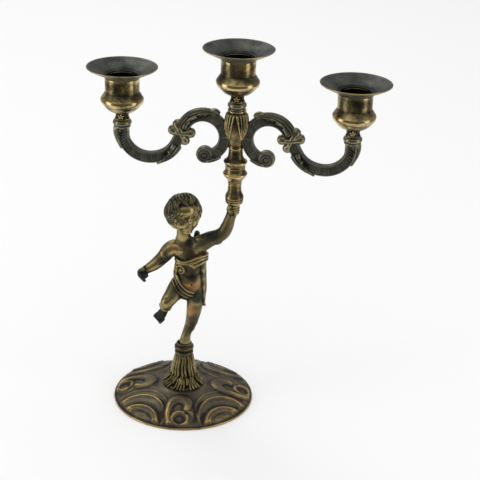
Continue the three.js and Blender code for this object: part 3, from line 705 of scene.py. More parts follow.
trunk = limb([
    (2.4, -0.2, 44.6, 9.4, 7), (2.1, -0.6, 47.2, 10.8, 8.2), (1.9, -0.9, 51, 11.5, 8.6),
    (2.6, -0.9, 55.6, 11.3, 8.4), (3.2, -0.5, 60, 10.6, 7.7), (4.1, 0, 65.4, 9.7, 7.0),
    (4, 0.2, 69, 10.2, 7.0), (3.6, 0.4, 74.8, 11.6, 7.0), (1.6, 0.5, 79.8, 12.2, 6.4),
    (-0.6, 0.5, 84, 10.8, 5.3), (-1.6, 0.2, 87.2, 7.0, 4.7), (-1.9, -0.4, 90.6, 5.2, 4.6),
    (-2.1, -0.8, 96, 4.8, 4.4),
], 48)
muscles = eggs_on_sole(
    (2.4, -3.4, 54.4, 8.8, 6.5, 7.4), (-2.6, -0.8, 79.6, 6.6, 5.2, 4.8), (7.6, -0.8, 80.0, 6.6, 5.2, 4.8),
    (2.4, 1.6, 49.4, 10.4, 6.4, 7.4), (6.1, -2.4, 23.6, 4.2, 3.2, 5.6), (4.7, 2.6, 15.6, 3.6, 3.2, 6.2),
    (8.1, -2.2, 38.5, 5.4, 4.8, 8), (-12.4, -8.6, 38.0, 4.8, 4.4, 5.0), (-2.8, 3.6, 78, 5.4, 3.6, 6.4),
    (7.4, 3.6, 78.6, 5.4, 3.6, 6.4),
)
legs = [
    limb([
        (0.4, 0, -1, 4.3), (0.7, 0, 2.4, 4.35), (1.1, 0, 6.0, 3.8), (2.3, 0.7, 11.1, 3.6),
        (3.9, 0.8, 15.2, 4.1), (5.2, 0.3, 19, 4.7), (6.1, -0.5, 23.2, 5.0), (7.3, -0.7, 30.7, 5.8),
        (7.9, -0.4, 38.1, 6.4), (8.1, 0, 44.7, 7.0), (7.6, 0, 50.3, 6.9),
    ]),
    limb([
        (-4.6, -0.5, 50, 7), (-6.6, -2.2, 47.2, 6.5), (-8.9, -5, 42.6, 6.1), (-11, -7.0, 39.6, 5.6),
        (-12.8, -7.8, 36.4, 4.9), (-13.2, -4.6, 33.6, 4.5), (-14, 0.2, 30.6, 4.3), (-15.0, 4.2, 28.4, 3.4),
    ]),
    limb([
        (-14.2, 3.0, 30.4, 2.7), (-15.1, 4.8, 28.0, 3.0), (-16.8, 5.3, 24.2, 3.3, 3.0),
        (-18.8, 5.0, 20.6, 3.9, 2.5), (-20.3, 4.6, 18.0, 3.8, 1.9),
    ]),
    limb([(-13.6, 6.6, 29.0, 2.6), (-14.4, 8.2, 27.0, 2.5), (-15.8, 8.0, 24.4, 2.0)]),
    limb([(5.4, 4.6, 82, 2.4), (6.9, 5.4, 87, 2.3), (7.4, 5.4, 90.6, 2.1)], 16, 0.6),
]
for k, size in enumerate((1.55, 1.1, 1.05, 1.0, 0.9)):
    x, z = -18.9 - 1.12 * k - 0.2 * (k > 0), 15.2 + 1.15 * k + 0.2 * (k > 0)
    toe = [(x + 1.4, 4.7, z + 1.5, size), (x, 4.3, z, size), (x - 0.7, 3.9, z - 0.8, 0.92 * size)]
    legs.append(limb(toe, 14, 0.4))

sash = ribbons((
    ((-7.7, -2, 73.7, 0.9), (-5.1, -6, 72.5, 1.0), (-0.5, -7.9, 71.6, 1.1), (4, -8.4, 73.1, 1.1),
     (9.1, -8, 75.8, 1.1), (13.9, -5.8, 77.1, 1.1), (16.4, -1, 76.8, 1.1), (15.4, 4, 76, 1.1),
     (11, 7.4, 75, 1.1), (4.4, 8.3, 74, 1.1), (-2.6, 7.2, 73.6, 1.1), (-7.4, 3, 73.6, 1.0),
     (-7.7, -2, 73.7, 0.9)),
    ((-7.5, -2, 71.4, 0.8), (-5.0, -6, 70.6, 0.9), (1.8, -8.5, 70.7, 1.0), (7.1, -8.7, 72.1, 1.0),
     (12, -7.3, 74.3, 1.1), (16.4, -1, 74.7, 1.1), (15.4, 4, 73.8, 1.1), (11, 7.4, 72.8, 1.1),
     (4.4, 8.2, 71.8, 1.1), (-2.6, 7.0, 71.4, 1.0), (-7.2, 3, 71.4, 0.9), (-7.5, -2, 71.4, 0.8)),
    ((5.6, -8.8, 69.4, 0.7), (7.9, -8.7, 69.7, 1.0), (10.9, -8.2, 70.7, 1.0), (14, -6, 72.3, 1.0),
     (16.3, -1, 72.7, 1.0), (15.3, 4, 71.7, 1.0), (11, 7.4, 70.6, 1.0), (4.4, 8.1, 69.8, 0.9),
     (-1, 7.4, 69.6, 0.8)),
    ((-4.8, -7.0, 67.5, 0.6), (-2.7, -8.1, 68.8, 0.75), (-0.3, -8.7, 67.4, 0.75), (0.3, -8.9, 64.7, 0.75),
     (-1.3, -8.9, 63.2, 0.7), (-3.2, -8.3, 65.0, 0.6), (-2.6, -8.2, 66.6, 0.5)),
    ((-6.6, -4.6, 70.0, 0.8), (-7.0, -4.8, 66, 0.9), (-7.6, -4.8, 62.5, 0.9), (-7.0, -6.4, 58.5, 0.8)),
    ((-5.4, -6.0, 69.6, 0.6), (-5.6, -6.4, 65, 0.7), (-6.0, -6.8, 61.5, 0.7), (-4.6, -8.2, 58.0, 0.6)),
), 1, 0.82, 0.9)
knot = eggs_on_sole(
    (6.0, -8.6, 70.6, 1.9, 1.5, 1.9), (7.9, -8.9, 69.2, 1.3, 1.2, 1.5), (-1.8, -8.7, 65.6, 0.9, 0.9, 0.9),
    (14.9, 1.6, 33.9, 1.15, 1.3, 1.25),
)
folds = ribbons((
    ((-8.0, -3.4, 61.6, 0.8), (-4.9, -8.0, 59.8, 1.0), (-3.0, -9.3, 56.1, 1.0), (-0.5, -9.8, 53.0, 0.9),
     (2.3, -9.7, 50.4, 1.0), (5.2, -9.0, 48.6, 1.1), (7.6, -8.3, 47.3, 0.9)),
    ((-7.4, -6.0, 59.6, 0.5), (-5.6, -7.9, 56.3, 0.6), (-3.7, -8.9, 53.0, 0.6), (-1.3, -9.2, 49.8, 0.6),
     (1.5, -9.1, 47.2, 0.8), (4.8, -8.4, 45.4, 1.0), (6.8, -7.8, 44.8, 0.8)),
    ((-9.0, -5.6, 55.6, 0.4), (-7.0, -7.3, 52.6, 0.5), (-4.6, -8.3, 49.0, 0.5), (-2.0, -8.4, 46.0, 0.6),
     (1.4, -7.8, 43.8, 0.7), (3.6, -6.8, 43.0, 0.7)),
    ((-4.6, -5.6, 44.4, 0.6), (-6.6, -5.2, 42.2, 0.8), (-7.8, -5.0, 39.8, 0.9), (-8.0, -4.6, 36.6, 0.7)),
    ((-2.6, -4.0, 43.0, 0.7), (-4.8, -3.4, 40.6, 0.9), (-6.4, -3.0, 37.8, 0.8), (-7.4, -2.6, 35.6, 0.6)),
    ((-18.2, -5.4, 34.6, 0.7), (-16.6, -9.0, 33.0, 0.9), (-13.2, -10.4, 31.6, 0.9), (-10.0, -8.0, 31.4, 0.7)),
), 0.97, 0.8, 0.75)
folds.append(limb([(-1.5, 1, 45, 4, 3), (-5, -0.6, 40.6, 3.4, 2.4), (-7.4, -1.6, 36.6, 1.6, 1.3)], 20, 0.8))
folds.append(limb([
    (-7.6, -4.4, 58.0, 0.8, 0.6), (-8.2, 0.8, 55.6, 4.2, 0.9), (-6.0, 6.2, 51.6, 8.0, 1.3),
    (1.8, 8.2, 49.8, 9.4, 1.4), (8.8, 7.2, 50.4, 8.6, 1.3), (13.6, 3.4, 53.0, 6.6, 1.1),
    (14.4, 0.6, 55.6, 3.4, 0.8),
], 44, 0.8, outward))
for drop in (0, 3.4, 6.6, 9.6, 12.4):
    folds.append(limb([
        (-8.2, -1.6, 57.6 - 0.3 * drop, 0.5, 0.5), (-7.0, 5.8, 56.0 - 0.8 * drop, 0.8, 0.7),
        (1.8, 9.3, 55.4 - 1.05 * drop, 0.95, 0.75), (9.6, 7.8, 56.4 - 0.95 * drop, 0.9, 0.7),
        (14.2, 3.0, 58.4 - 0.7 * drop, 0.6, 0.6),
    ], 14, 0.8, outward))
for side in (-2.4, 0.0, 2.6, 5.2):
    folds.append(limb([
        (13.4, side - 1.2, 72, 1.0, 1.6), (13.4, side - 0.6, 64, 1.3, 1.8), (13.8, side, 55, 1.5, 1.6),
        (14.4, side, 44, 1.4, 1.2),
        (14.6 - 0.12 * side, 0.8 * side + 0.6, 35.6 + 0.5 * abs(side), 1.0, 0.9),
    ], 14, 0.8, (1, 0, 0)))

body = cast("putto_body", [trunk, *muscles, *legs[:4]], [*legs[4:], *sash, *knot, *folds], BODY_GRAIN, 24)
pressed(body, [
    (1.5, 0.8, [(6.4, -9.8, 55.2), (6.5, -9.8, 54.6)]),
    (2.4, 0.3, [(-2.0, -8.2, 62.4), (4, -8.8, 60.6), (9, -7.6, 61.4), (12.6, -4.4, 63)]),
    (1.6, 0.8, [(3.0, 8.4, 57), (4.2, 7.6, 65), (3.4, 7.8, 75), (1.6, 6.8, 81)]),
    (1.8, 0.4, [(2.4, 4.0, 24), (6, 5.0, 23.4), (9.6, 4.0, 24)]),
    (2.0, 0.4, [(-12.0, -11.4, 42.4), (-9.6, -9.6, 37.6), (-9.2, -7.6, 35)]),
])
drilled(body, FOOT_AXIS, 0, 14, SOLE - 8, SOLE)
drilled(body, FOOT_AXIS, 0, TIE_HOLE, SOLE - 2, SOLE + TIE_GRIP)


# Figure brass: rubbed gold where hands reach it, warmer on the belly, and nearly black where a piece's
# paint darkens it, which is partly dark patina and partly painted shade in creases, hollows and on
# shaded sides. Each piece says where with its painted tone, warmth and darkness; some raised tone there
# is a painted highlight.
figure_brass, tree, shader, place, worn, clouds, specks = brass_grain("figure_brass", 120, 0.62)
paint = node(tree, "Attribute", {"attribute_name": "paint"}, out=1)
tone, warmth, patina_and_shade = (node(tree, "SeparateXYZ", values={0: paint}, out=k) for k in range(3))
stains = noise(tree, place, 52)
shine = 0.43 + (worn - 0.5) + tone + 0.5 * (clouds - 0.5) + 0.12 * (specks - 0.5)
gold = ramp(tree, [
    (0.12, (0.012, 0.011, 0.008)), (0.36, (0.050, 0.047, 0.028)), (0.6, (0.17, 0.140, 0.064)),
    (0.85, (0.45, 0.35, 0.15)),
], shine.clamped())
copper = ramp(tree, [
    (0.12, (0.016, 0.010, 0.006)), (0.4, (0.10, 0.055, 0.024)), (0.62, (0.30, 0.16, 0.065)),
    (0.85, (0.56, 0.34, 0.15)),
], shine.clamped())
warm = (warmth + 1.6 * (stains - 0.5)).smooth(0.25, 0.7)
dark = (patina_and_shade + 1.2 * (stains - 0.5) * patina_and_shade.smooth(0, 0.3)).clamped()
metal = node(tree, "Mix", {"data_type": "RGBA"}, {0: warm, 6: gold, 7: copper}, out=2)
black = ramp(tree, [(0.2, (0.010, 0.012, 0.011)), (0.8, (0.060, 0.064, 0.052))], shine.clamped())
skin = node(tree, "Mix", {"data_type": "RGBA"}, {0: dark, 6: metal, 7: black}, out=2)
polish = shine.smooth(0.25, 0.85) * (1 - dark)
bump = node(tree, "Bump", values={"Height": specks + clouds, "Strength": 0.12, "Distance": 0.0004})
join_up(tree, shader, Base_Color=skin, Roughness=0.5 - 0.2 * polish + 0.14 * (clouds - 0.5),
        Metallic=0.8 + 0.2 * polish, Normal=bump)

# Painted shade darkens the fold of the belly, the groin, the middle of the chest and between the thighs, and
# a strip of it runs down the figure's left side; the patches of raised tone on the chest and at the foot of
# the neck are painted highlights. The raised leg's shin and foot and the hollow behind the raised shoulder
# are painted nearly black, the back is a little darker, and other patches change warmth and tone.
painted(body, (0.0, 0.1, 0.05), [
    (6, -8, 52.5, 9, 0.06, 0.5, 0.0), (11.5, -6, 54, 6, 0.12, 0.4, 0.0), (7, -9, 60.4, 6, -0.2, 0, 0.35),
    (11.0, -6.5, 43.5, 7, -0.2, 0, 0.6), (-5, -7, 80, 8, 0.22, -0.2, 0.0),
    (4, -8, 77, 6.5, -0.12, 0.2, 0.1), (12.0, -5, 79, 5, 0.3, -0.2, 0.0),
    (-2, -4.5, 90, 6, 0.22, -0.2, 0.0), (3.4, -4, 86, 4, -0.2, 0, 0.2),
    (-10.5, -10, 42, 7, 0.12, 0.15, 0.0), (-15, -9, 37, 5, 0.0, -0.1, 0.2),
    (8, -5, 38.5, 6, 0.1, -0.2, 0.0), (4.6, -5, 32, 7, 0.05, 0.4, 0.0), (9, -4, 23, 8, -0.12, 0.0, 0.35),
    (5, -3, 13, 7, -0.12, 0, 0.2),
    # A strip of painted shade down the figure's left side
    *((x, y, z, 4.5, -0.2, -0.2, 0.4) for x, y, z in (
        (16, -4, 68), (16, -4, 61), (16, -4, 54), (16.5, -3, 47), (16.5, -2, 40),
    )),
    (-19, 5, 20, 10.5, -0.2, -0.4, 1.2), (-14.5, 5.5, 28.4, 5.5, -0.2, -0.4, 0.8),
    (-6, -4, 38, 5, -0.1, 0, 0.3), (-5, -8, 50, 6, -0.05, 0, 0.15), (2, 6, 60, 14, -0.05, 0, 0.15),
    (3, 7, 46, 6, -0.15, 0, 0.3), (7.2, 5.3, 89.5, 5, -0.3, 0, 1.0),
])
finished(body, figure_brass, "stand", "figure_brass", "putto_body", reach=1.5, strength=0.9)


# Putto's head: a calm child's face turned to the viewer's right, under thick combed hair whose locks
# fall from the crown and end in curls. Head and hair are one casting, brazed on the neck.
HEAD = np.array([-37.1, 0.6, 152.8])
HEAD_TURN = -55.0
HEAD_GRAIN = 0.3
CROWN_LEAN = radians(20)
HAIR_MIDDLE = (-0.8, 0, 0.7)
towards = np.array([cos(radians(HEAD_TURN)), sin(radians(HEAD_TURN)), 0])
sideways = np.array([-towards[1], towards[0], 0])


def on_head(front, side, up):
    return HEAD + front * towards + side * sideways + np.array([0, 0, up])


def head_egg(front, side, up, deep, wide, tall):
    return egg(*on_head(front, side, up), deep, wide, tall, HEAD_TURN)


def head_line(stations, sides=12, step=0.4, facing=None):
    placed = [(*on_head(*s[:3]), *s[3:]) for s in stations]
    return drawn("line", placed, sides, step, tuple(towards) if facing is None else facing)


def on_hair(around, down, out=0.0):
    """A place on the hair: degrees round from the face, degrees down from the crown and mm outwards."""
    a, d = radians(around), radians(down)
    front, side, up = sin(d) * cos(a), sin(d) * sin(a), cos(d)
    front, up = (front * cos(CROWN_LEAN) - up * sin(CROWN_LEAN),
                 up * cos(CROWN_LEAN) + front * sin(CROWN_LEAN))
    return HAIR_MIDDLE[0] + (12.0 + out) * front, (12.2 + out) * side, HAIR_MIDDLE[2] + (12.8 + out) * up


def hairline(around):
    """How far down the hair goes: short over the forehead, over the ears at the sides, to the nape."""
    return 67 + 54 * step_up(np.abs(around), 32, 72) + 12 * step_up(np.abs(around), 100, 150)


def off_head(places):
    return places - HEAD


def face_axes(spots):
    """Spots from the middle of the head, measured to the front of the face, to its side and up."""
    return np.stack([spots @ towards, spots @ sideways, spots[:, 2]], axis=1)


def in_egg(spots, middle, sizes, edge=0.0):
    """1 from the edge of an egg inwards, edge being a share of its sizes, and 0 outside it."""
    return step_up(-lengths((spots - np.array(middle)) / np.array(sizes)), -1, -edge)


def lock(around, start, finish, sway, size, out, strands=3):
    """A lock of combed strands that starts and finishes so many degrees down from the crown."""
    made = []
    for k in range(strands):
        offset = k - (strands - 1) / 2
        line = []
        for share in np.linspace(0, 1, 7):
            down = start + share * (finish - start)
            spread = size * offset * (0.45 + 1.0 * sin(pi * min(1, 0.15 + 0.8 * share)))
            turn = around + sway * sin(4.8 * share)
            turn += degrees(spread / (12 * max(0.35, sin(radians(down)))))
            lift = out + 0.5 * sin(pi * share) - 0.25 * abs(offset) + 0.5 * sin(8 * share + around)
            thick = size * (0.62 + 0.25 * sin(pi * share)) * (1 - 0.7 * share**3)
            line.append((*on_hair(turn, down, lift), thick, 0.8 * thick))
        made.append(head_line(line, 10, 0.8, off_head))
    return made


def curl(around, down, size, hand):
    """A spiral curl that lies on the hair."""
    middle = np.array(on_hair(around, down, 0.2))
    outside = np.array(on_hair(around, down, 1.2)) - middle
    outside /= np.linalg.norm(outside)
    across = np.cross(outside, (0, 0, 1))
    across /= np.linalg.norm(across)
    upright = np.cross(across, outside)
    line = []
    for share in np.linspace(0, 1, 12):
        turn = hand * (pi / 2 - 3.1 * pi * share)
        reach = size * (1 - 0.82 * share)
        spot = middle + reach * (across * cos(turn) + upright * sin(turn)) + outside * 1.1 * share
        line.append((*spot, 0.34 * size * (1 - 0.35 * share)))
    return head_line(line, 10, 0.5, off_head)


# The eyes lie halfway down the head and the chin hangs over the neck, as on any child's head
face = [head_egg(*sizes) for sizes in (
    (-1.0, 0, 1.4, 10.8, 10.4, 11.4), (3.2, 0, -2.6, 8.3, 8.4, 11.2), (3.8, 0, 4.2, 7.8, 8.2, 6.8),
    (4.4, 4.2, -5.4, 6.4, 5.2, 5.8), (4.4, -4.2, -5.4, 6.4, 5.2, 5.8), (4.8, 0, -8.8, 6.2, 6.4, 4.8),
    (6.6, 0, -11.8, 4.2, 3.8, 2.8),
)]
# Nose, nostrils and lips, then on both sides the ball of the eye, its two lids and the brow
features = [head_line(line) for line in (
    ((10.2, 0, 1.6, 1.1, 1.0), (11.0, 0, -0.4, 1.1, 1.0), (12.0, 0, -2.6, 1.35, 1.2),
     (11.8, 0, -3.6, 1.2, 1.0)),
    ((10.7, -1.9, -3.4, 0.8), (11.6, -1.0, -3.7, 0.9), (11.6, 1.0, -3.7, 0.9), (10.7, 1.9, -3.4, 0.8)),
    ((10.1, -2.5, -6.9, 0.4), (10.9, -1.2, -6.5, 0.6), (11.1, 0, -6.8, 0.55), (10.9, 1.2, -6.5, 0.6),
     (10.1, 2.5, -6.9, 0.4)),
    ((10.1, -1.9, -7.6, 0.4), (10.8, -0.9, -8.0, 0.65), (10.9, 0, -8.1, 0.7), (10.8, 0.9, -8.0, 0.65),
     (10.1, 1.9, -7.6, 0.4)),
)]
EYE_LINES = (
    ((9.2, 5.7, 0.0, 0.3), (10.1, 4.8, 1.2, 0.45), (10.6, 3.4, 1.5, 0.5), (10.4, 1.9, 0.4, 0.35)),
    ((9.4, 5.3, -0.5, 0.3), (10.1, 3.9, -1.15, 0.34), (10.3, 2.4, -0.7, 0.3)),
    ((8.6, 6.4, 2.8, 0.5), (9.9, 4.8, 3.9, 0.6), (10.4, 2.6, 3.6, 0.55)),
)
for side in (-1, 1):
    features.append(head_egg(8.9, 3.7 * side, 0.2, 1.75, 1.9, 1.3))
    features += [head_line([(front, across * side, up, size) for front, across, up, size in line])
                 for line in EYE_LINES]
hair = [head_egg(-1.0, 0, 1.2, 11.4, 11.9, 12.6), head_egg(-3.0, 0, -6.0, 8.8, 10.4, 7.6)]
hair += [head_egg(2.2, side * 7.9, up, 5.4, 3.6, 7.2) for side in (-1, 1) for up in (-2.5, 4.5)]
SCATTER = 137.508               # gives the locks uneven lengths
for i in range(15):
    around = (i * 24 + 8) % 360 - 180
    end = float(hairline(around))
    hair += lock(around, 8, end - 4 + 6 * sin(i * SCATTER), 15 * sin(i * 2.1 + 0.4), 1.25, 0.1)
for i in range(13):
    around = (i * 27.7 + 15) % 360 - 180
    end = float(hairline(around))
    if abs(around) > 60:
        hair += lock(around, 30 + 14 * (i % 2), end + 6, -19 * sin(i * 1.7 + 0.5), 1.3, 0.8)
for comb in ((0, 12, 62, 12, 1.1, 0.7, 2), (-20, 14, 74, -16, 1.2, 0.9), (22, 12, 76, 14, 1.2, 1.0),
             (44, 22, 80, -14, 1.2, 0.9), (-44, 22, 78, 12, 1.2, 0.9)):
    hair += lock(*comb)
hair += [curl(*place) for place in (
    (-54, 82, 2.2, 1), (-60, 96, 2.5, -1), (-64, 111, 2.6, 1), (56, 84, 2.1, -1), (62, 98, 2.2, 1),
    (-72, 126, 2.9, 1), (-84, 134, 3.3, -1), (-100, 118, 3.4, 1), (-114, 138, 3.1, -1), (-76, 143, 2.8, 1),
    (-136, 118, 3.2, 1), (-160, 130, 3.0, -1), (174, 117, 3.1, 1), (150, 130, 3.0, -1), (124, 116, 3.0, 1),
    (98, 127, 2.8, -1), (76, 114, 2.5, 1), (-74, 100, 2.8, -1), (-92, 94, 3.0, 1), (-112, 94, 2.8, -1),
    (68, 92, 2.2, 1), (-150, 92, 2.8, 1), (160, 94, 2.8, -1), (112, 92, 2.6, -1), (-88, 141, 2.8, 1),
)]

skull = fused("skull", face, HEAD_GRAIN, 16)
dents = spots_of(skull) - HEAD
for side in (-1, 1):
    dents -= 0.5 * in_egg(face_axes(dents), [9.8, 3.6 * side, 0.2], [3.5, 2.9, 2.0])[:, None] * towards
move_spots(skull, dents + HEAD)
head = fused("putto_head", [skull, *features, *hair], HEAD_GRAIN, 2)
seen = face_axes(spots_of(head) - HEAD)
crowned = seen - np.array(HAIR_MIDDLE)
crowned = np.stack([
    crowned[:, 0] * cos(CROWN_LEAN) + crowned[:, 2] * sin(CROWN_LEAN), crowned[:, 1],
    crowned[:, 2] * cos(CROWN_LEAN) - crowned[:, 0] * sin(CROWN_LEAN),
], axis=1)
around = np.degrees(np.arctan2(crowned[:, 1], crowned[:, 0]))
down = np.degrees(np.arccos(crowned[:, 2] / lengths(crowned)))
hair_share = step_up(hairline(around) + 6 - down, -3, 3)
# The eye openings and the line between the lips are painted dark as painted shade in these hollows; the hair
# is made darker.
socket = sum(in_egg(seen, [10, 3.8 * side, 0.15], [3, 2.5, 1.25], 0.5) for side in (-1, 1))
mouth = in_egg(seen, [10.8, 0, -7.2], [2, 2.9, 0.5], 0.2)
tones = 0.27 - 0.4 * hair_share - 0.34 * socket - 0.38 * mouth
head_patina_and_shade = 0.4 * hair_share + 0.1 * socket
painted(head, np.stack([tones, np.full(len(seen), 0.05), head_patina_and_shade], axis=1), [])
finished(head, figure_brass, "stand", "figure_brass", "putto_head", reach=0.9,
         strength=0.75 + 0.95 * hair_share)


# Putto's arms: the left one is raised and its fist holds the stem, which turns in a drilled hole. The
# right one is let down and its hand is half closed. Both are cast apart and brazed to the shoulders.
ARM_GRAIN = 0.3
SPIGOT_HOLE = 2.65
HOLE_FLOOR = 157.2
FIST_TOP = 163.2
raised = [
    limb([
        (5, 0.2, 77.5, 5.6), (8.4, 0.2, 81.2, 6.2), (12.6, 0.2, 85.2, 6.3), (17.4, 0, 88.6, 5.9),
        (21.9, 0, 90.9, 5.3), (25.6, 0.1, 92.9, 5.0), (28.1, 0.2, 95.4, 4.9), (29.7, 0.3, 98.6, 4.8),
        (31.0, 0.3, 102.0, 4.5), (32.0, 0.2, 105.6, 4.1), (32.9, 0, 108.6, 3.9), (33.8, 0.1, 111.6, 4.0),
    ], 32),
    *eggs_on_sole((13, -0.6, 88.4, 6.4, 4.6, 4.0), (23.6, 0, 88.9, 4.0, 4.2, 3.8)),
    egg(-0.9, 0.4, 159.2, 4.3, 4.2, 4.6), egg(-1.6, -2.2, 159.4, 3.0, 2.2, 3.6),
]
for k, (reach, size) in enumerate(((3.4, 1.25), (3.55, 1.3), (3.6, 1.3), (3.45, 1.15))):
    finger = []
    for share in np.linspace(0, 1, 8):
        turn, height = radians(70 - (128 + 6 * k) * share), 156.6 + 1.75 * k + 0.5 * (1 - share)
        finger.append((-0.4 + reach * cos(turn), reach * sin(turn), height, size * (1 - 0.2 * share), size))
    raised.append(drawn("finger", finger, 14, 0.5, (0, 0, 1)))
raised.append(drawn("thumb", [(-2.8, 1.6, 156.8, 1.7), (-3.9, -0.4, 158.4, 1.6), (-3.6, -2.4, 160.4, 1.4),
                              (-2.7, -3.4, 162.0, 1.25)], 16, 0.5))
left_arm = cast("putto_left_arm", raised[:5], raised[5:], ARM_GRAIN, 12)
pressed(left_arm, [(1.0, 0.5, [(28.6, -4.2, 110.6), (31.6, -4.8, 110.9), (35.4, -3.6, 111.2)])])
drilled(left_arm, 0, 0, 8, FIST_TOP, 168)
drilled(left_arm, 0, 0, SPIGOT_HOLE, HOLE_FLOOR, 165)
# Painted shade darkens the crook of the elbow and the back of the upper arm; other patches change tone and
# warmth.
painted(left_arm, (-0.08, 0.05, 0.12), [
    (10, -5, 82, 7, 0.1, 0, 0), (20, -2, 93, 7, -0.2, 0, 0.4), (26, -3, 93, 6, -0.08, 0, 0.1),
    (30, -3, 104, 8, 0.06, 0.1, 0), (35, -4, 116, 5, 0.05, 0.2, 0), (8, 4, 86, 6, -0.2, 0, 0.4),
])
finished(left_arm, figure_brass, "stand", "figure_brass", "putto_left_arm", reach=1.3, strength=1.1)

lowered = [
    limb([
        (-3.4, 0.2, 77.4, 5.6), (-8.4, 0, 79.8, 6.1), (-12.4, -0.3, 77.4, 5.9), (-15.8, -1, 73, 5.3),
        (-18.2, -1.5, 70.2, 4.9), (-21.0, -2.6, 67.4, 4.7), (-24.3, -3.8, 64.9, 4.2),
        (-27.0, -4.6, 63.2, 3.7), (-29, -5, 61.8, 3.4), (-31, -5.6, 60, 3.7, 2.7),
        (-32.4, -6.2, 58.6, 3.8, 2.4),
    ], 32),
    *eggs_on_sole((-10.2, -0.6, 79.8, 5.4, 5.4, 5.2), (-15.4, -2.0, 74.6, 4.2, 4.6, 5.0),
                  (-31.2, -6.4, 58.4, 3.8, 3.0, 3.8)),
]
for k, size in enumerate((1.4, 1.5, 1.45, 1.3)):
    x, z = -34.0 + 1.1 * k, 59.6 - 1.3 * k
    lowered.append(limb([
        (x + 2.6, -5.6, z + 1.6, size), (x + 0.7, -6.4, z, size), (x + 0.3, -8.0, z - 0.9, 0.95 * size),
        (x + 1.5, -8.8, z - 1.2, 0.85 * size),
    ], 14, 0.5))
lowered.append(limb([(-28.9, -6.8, 62.6, 1.5), (-31.0, -8.2, 63.4, 1.5), (-33.0, -8.6, 62.6, 1.25)], 16, 0.5))
right_arm = cast("putto_right_arm", lowered[:4], lowered[4:], ARM_GRAIN, 12)
pressed(right_arm, [
    (1.6, 0.35, [(-15.6, -5.6, 69.6), (-18.6, -6.4, 68.4)]),
    (1.0, 0.5, [(-26.2, -8.0, 59.8), (-28.6, -8.8, 62.2), (-29.6, -7.0, 65.0)]),
])
# Painted shade darkens the crook of the elbow and the underside of the forearm; the hand is painted nearly
# black, and other patches change tone and warmth.
painted(right_arm, (0.0, 0.15, 0.05), [
    (-8, -5, 80, 7.5, 0.16, 0.35, 0.0), (-14, -5, 71, 7, -0.2, 0, 0.6), (-16, -4, 76, 5, 0, 0.4, 0),
    (-24, -6, 66, 6, 0.14, 0.0, 0.0), (-22, -4, 61, 6, -0.2, 0, 0.5),
    (-32, -7.5, 57.5, 10.5, -0.25, -0.3, 1.3),
])
finished(right_arm, figure_brass, "stand", "figure_brass", "putto_right_arm", reach=1.3, strength=1.1)


# Stem: a ringed bulb whose spigot stands in the fist, a baluster of two discs, and an urn with four
# leaves cast on its shoulder. All three are turned brass, threaded on one steel rod.
ROD_HOLE = 2.4
SPIGOT = 2.4                    # the radius of the bulb's foot in the fist
URN_TOP = 235.2
STEM_STEP = 0.35
bulb = turned("bulb", flowing([
    (0, 157.5), *sharp((SPIGOT, 157.5), (SPIGOT, 163.5), (5.2, 163.5)), (6.0, 164.4),
    *sharp((6.45, 165.6), (6.15, 165.9)), (6.6, 166.6), *sharp((6.7, 167.4), (6.35, 167.8)), (6.75, 168.4),
    (6.7, 169.6), (6.2, 171), (5.5, 172.4), (5.05, 174), (4.9, 176),
    *sharp((4.95, 179.3), (ROD_HOLE, 179.3), (ROD_HOLE, 166)), (0, 166),
], STEM_STEP))
baluster = turned("baluster", flowing([
    *sharp((ROD_HOLE, 179.6)), (4.95, 179.6), (5.1, 181), (5.7, 182.4), (6.9, 184), (8.2, 185.6),
    *sharp((8.85, 186.9)), (8.85, 187.5), (8.0, 188.6), (7.3, 190), *sharp((7.0, 191.4), (7.35, 191.7)),
    (7.3, 193), (7.5, 194.2), (8.2, 195.4), *sharp((8.65, 196.2)), (8.6, 196.8), (7.6, 197.6), (6.4, 198.7),
    (5.6, 200.4), (5.25, 202.6), *sharp((5.05, 205.7), (ROD_HOLE, 205.7)), (ROD_HOLE, 179.6),
], STEM_STEP))
urn = turned("urn", flowing([
    *sharp((ROD_HOLE, 206)), (5.0, 206), (5.3, 209.5), (6.1, 213), (7.2, 217), (8.0, 221), (8.3, 225),
    (8.0, 229), (7.2, 232.4), *sharp((6.3, 234)), (6.7, 234.4), *sharp((6.7, URN_TOP), (ROD_HOLE, URN_TOP)),
    (ROD_HOLE, 206),
], STEM_STEP), around=180)
LEAF_TIP = 213.5
LEAF_TOP = 233.2
LEAF_RIBS = 5
spots = spots_of(urn)
radius = radius_of(spots, 0)
angle = np.degrees(np.arctan2(spots[:, 0], -spots[:, 1]))
across = (angle % 90) - 45
share = np.clip((spots[:, 2] - LEAF_TIP) / (LEAF_TOP - LEAF_TIP), 0, 1)
half = 3 + 42 * share**0.6
inside = step_up(half - np.abs(across), 0, 6) * step_up(share, 0, 0.06) * (radius > 4.5) * (share < 1)
ribs = np.cos(pi * LEAF_RIBS * across / np.maximum(half, 1))
edge = ridge((np.abs(across) - half + 4) / 4, 1, 0.25) * (share > 0)
push = inside * (0.3 + 0.24 * ribs + edge) * step_up(-spots[:, 2], -LEAF_TOP, -LEAF_TOP + 1)
spots[:, :2] *= (1 + push / np.maximum(radius, 1))[:, None]
move_spots(urn, spots)
stem_brass = old_brass("stem_brass", [
    (0.12, (0.014, 0.013, 0.009)), (0.4, (0.056, 0.048, 0.029)), (0.6, (0.20, 0.150, 0.064)),
    (0.86, (0.58, 0.44, 0.20)),
], bare=0.48, patch=0.65, rough=(0.38, 0.22), cover=0.9)
finished(bulb, stem_brass, "branch", "stem_brass", "grip_bulb")
finished(baluster, stem_brass, "branch", "stem_brass", "baluster")
finished(urn, stem_brass, "branch", "stem_brass", "leaf_urn", reach=1.0, strength=1.3)


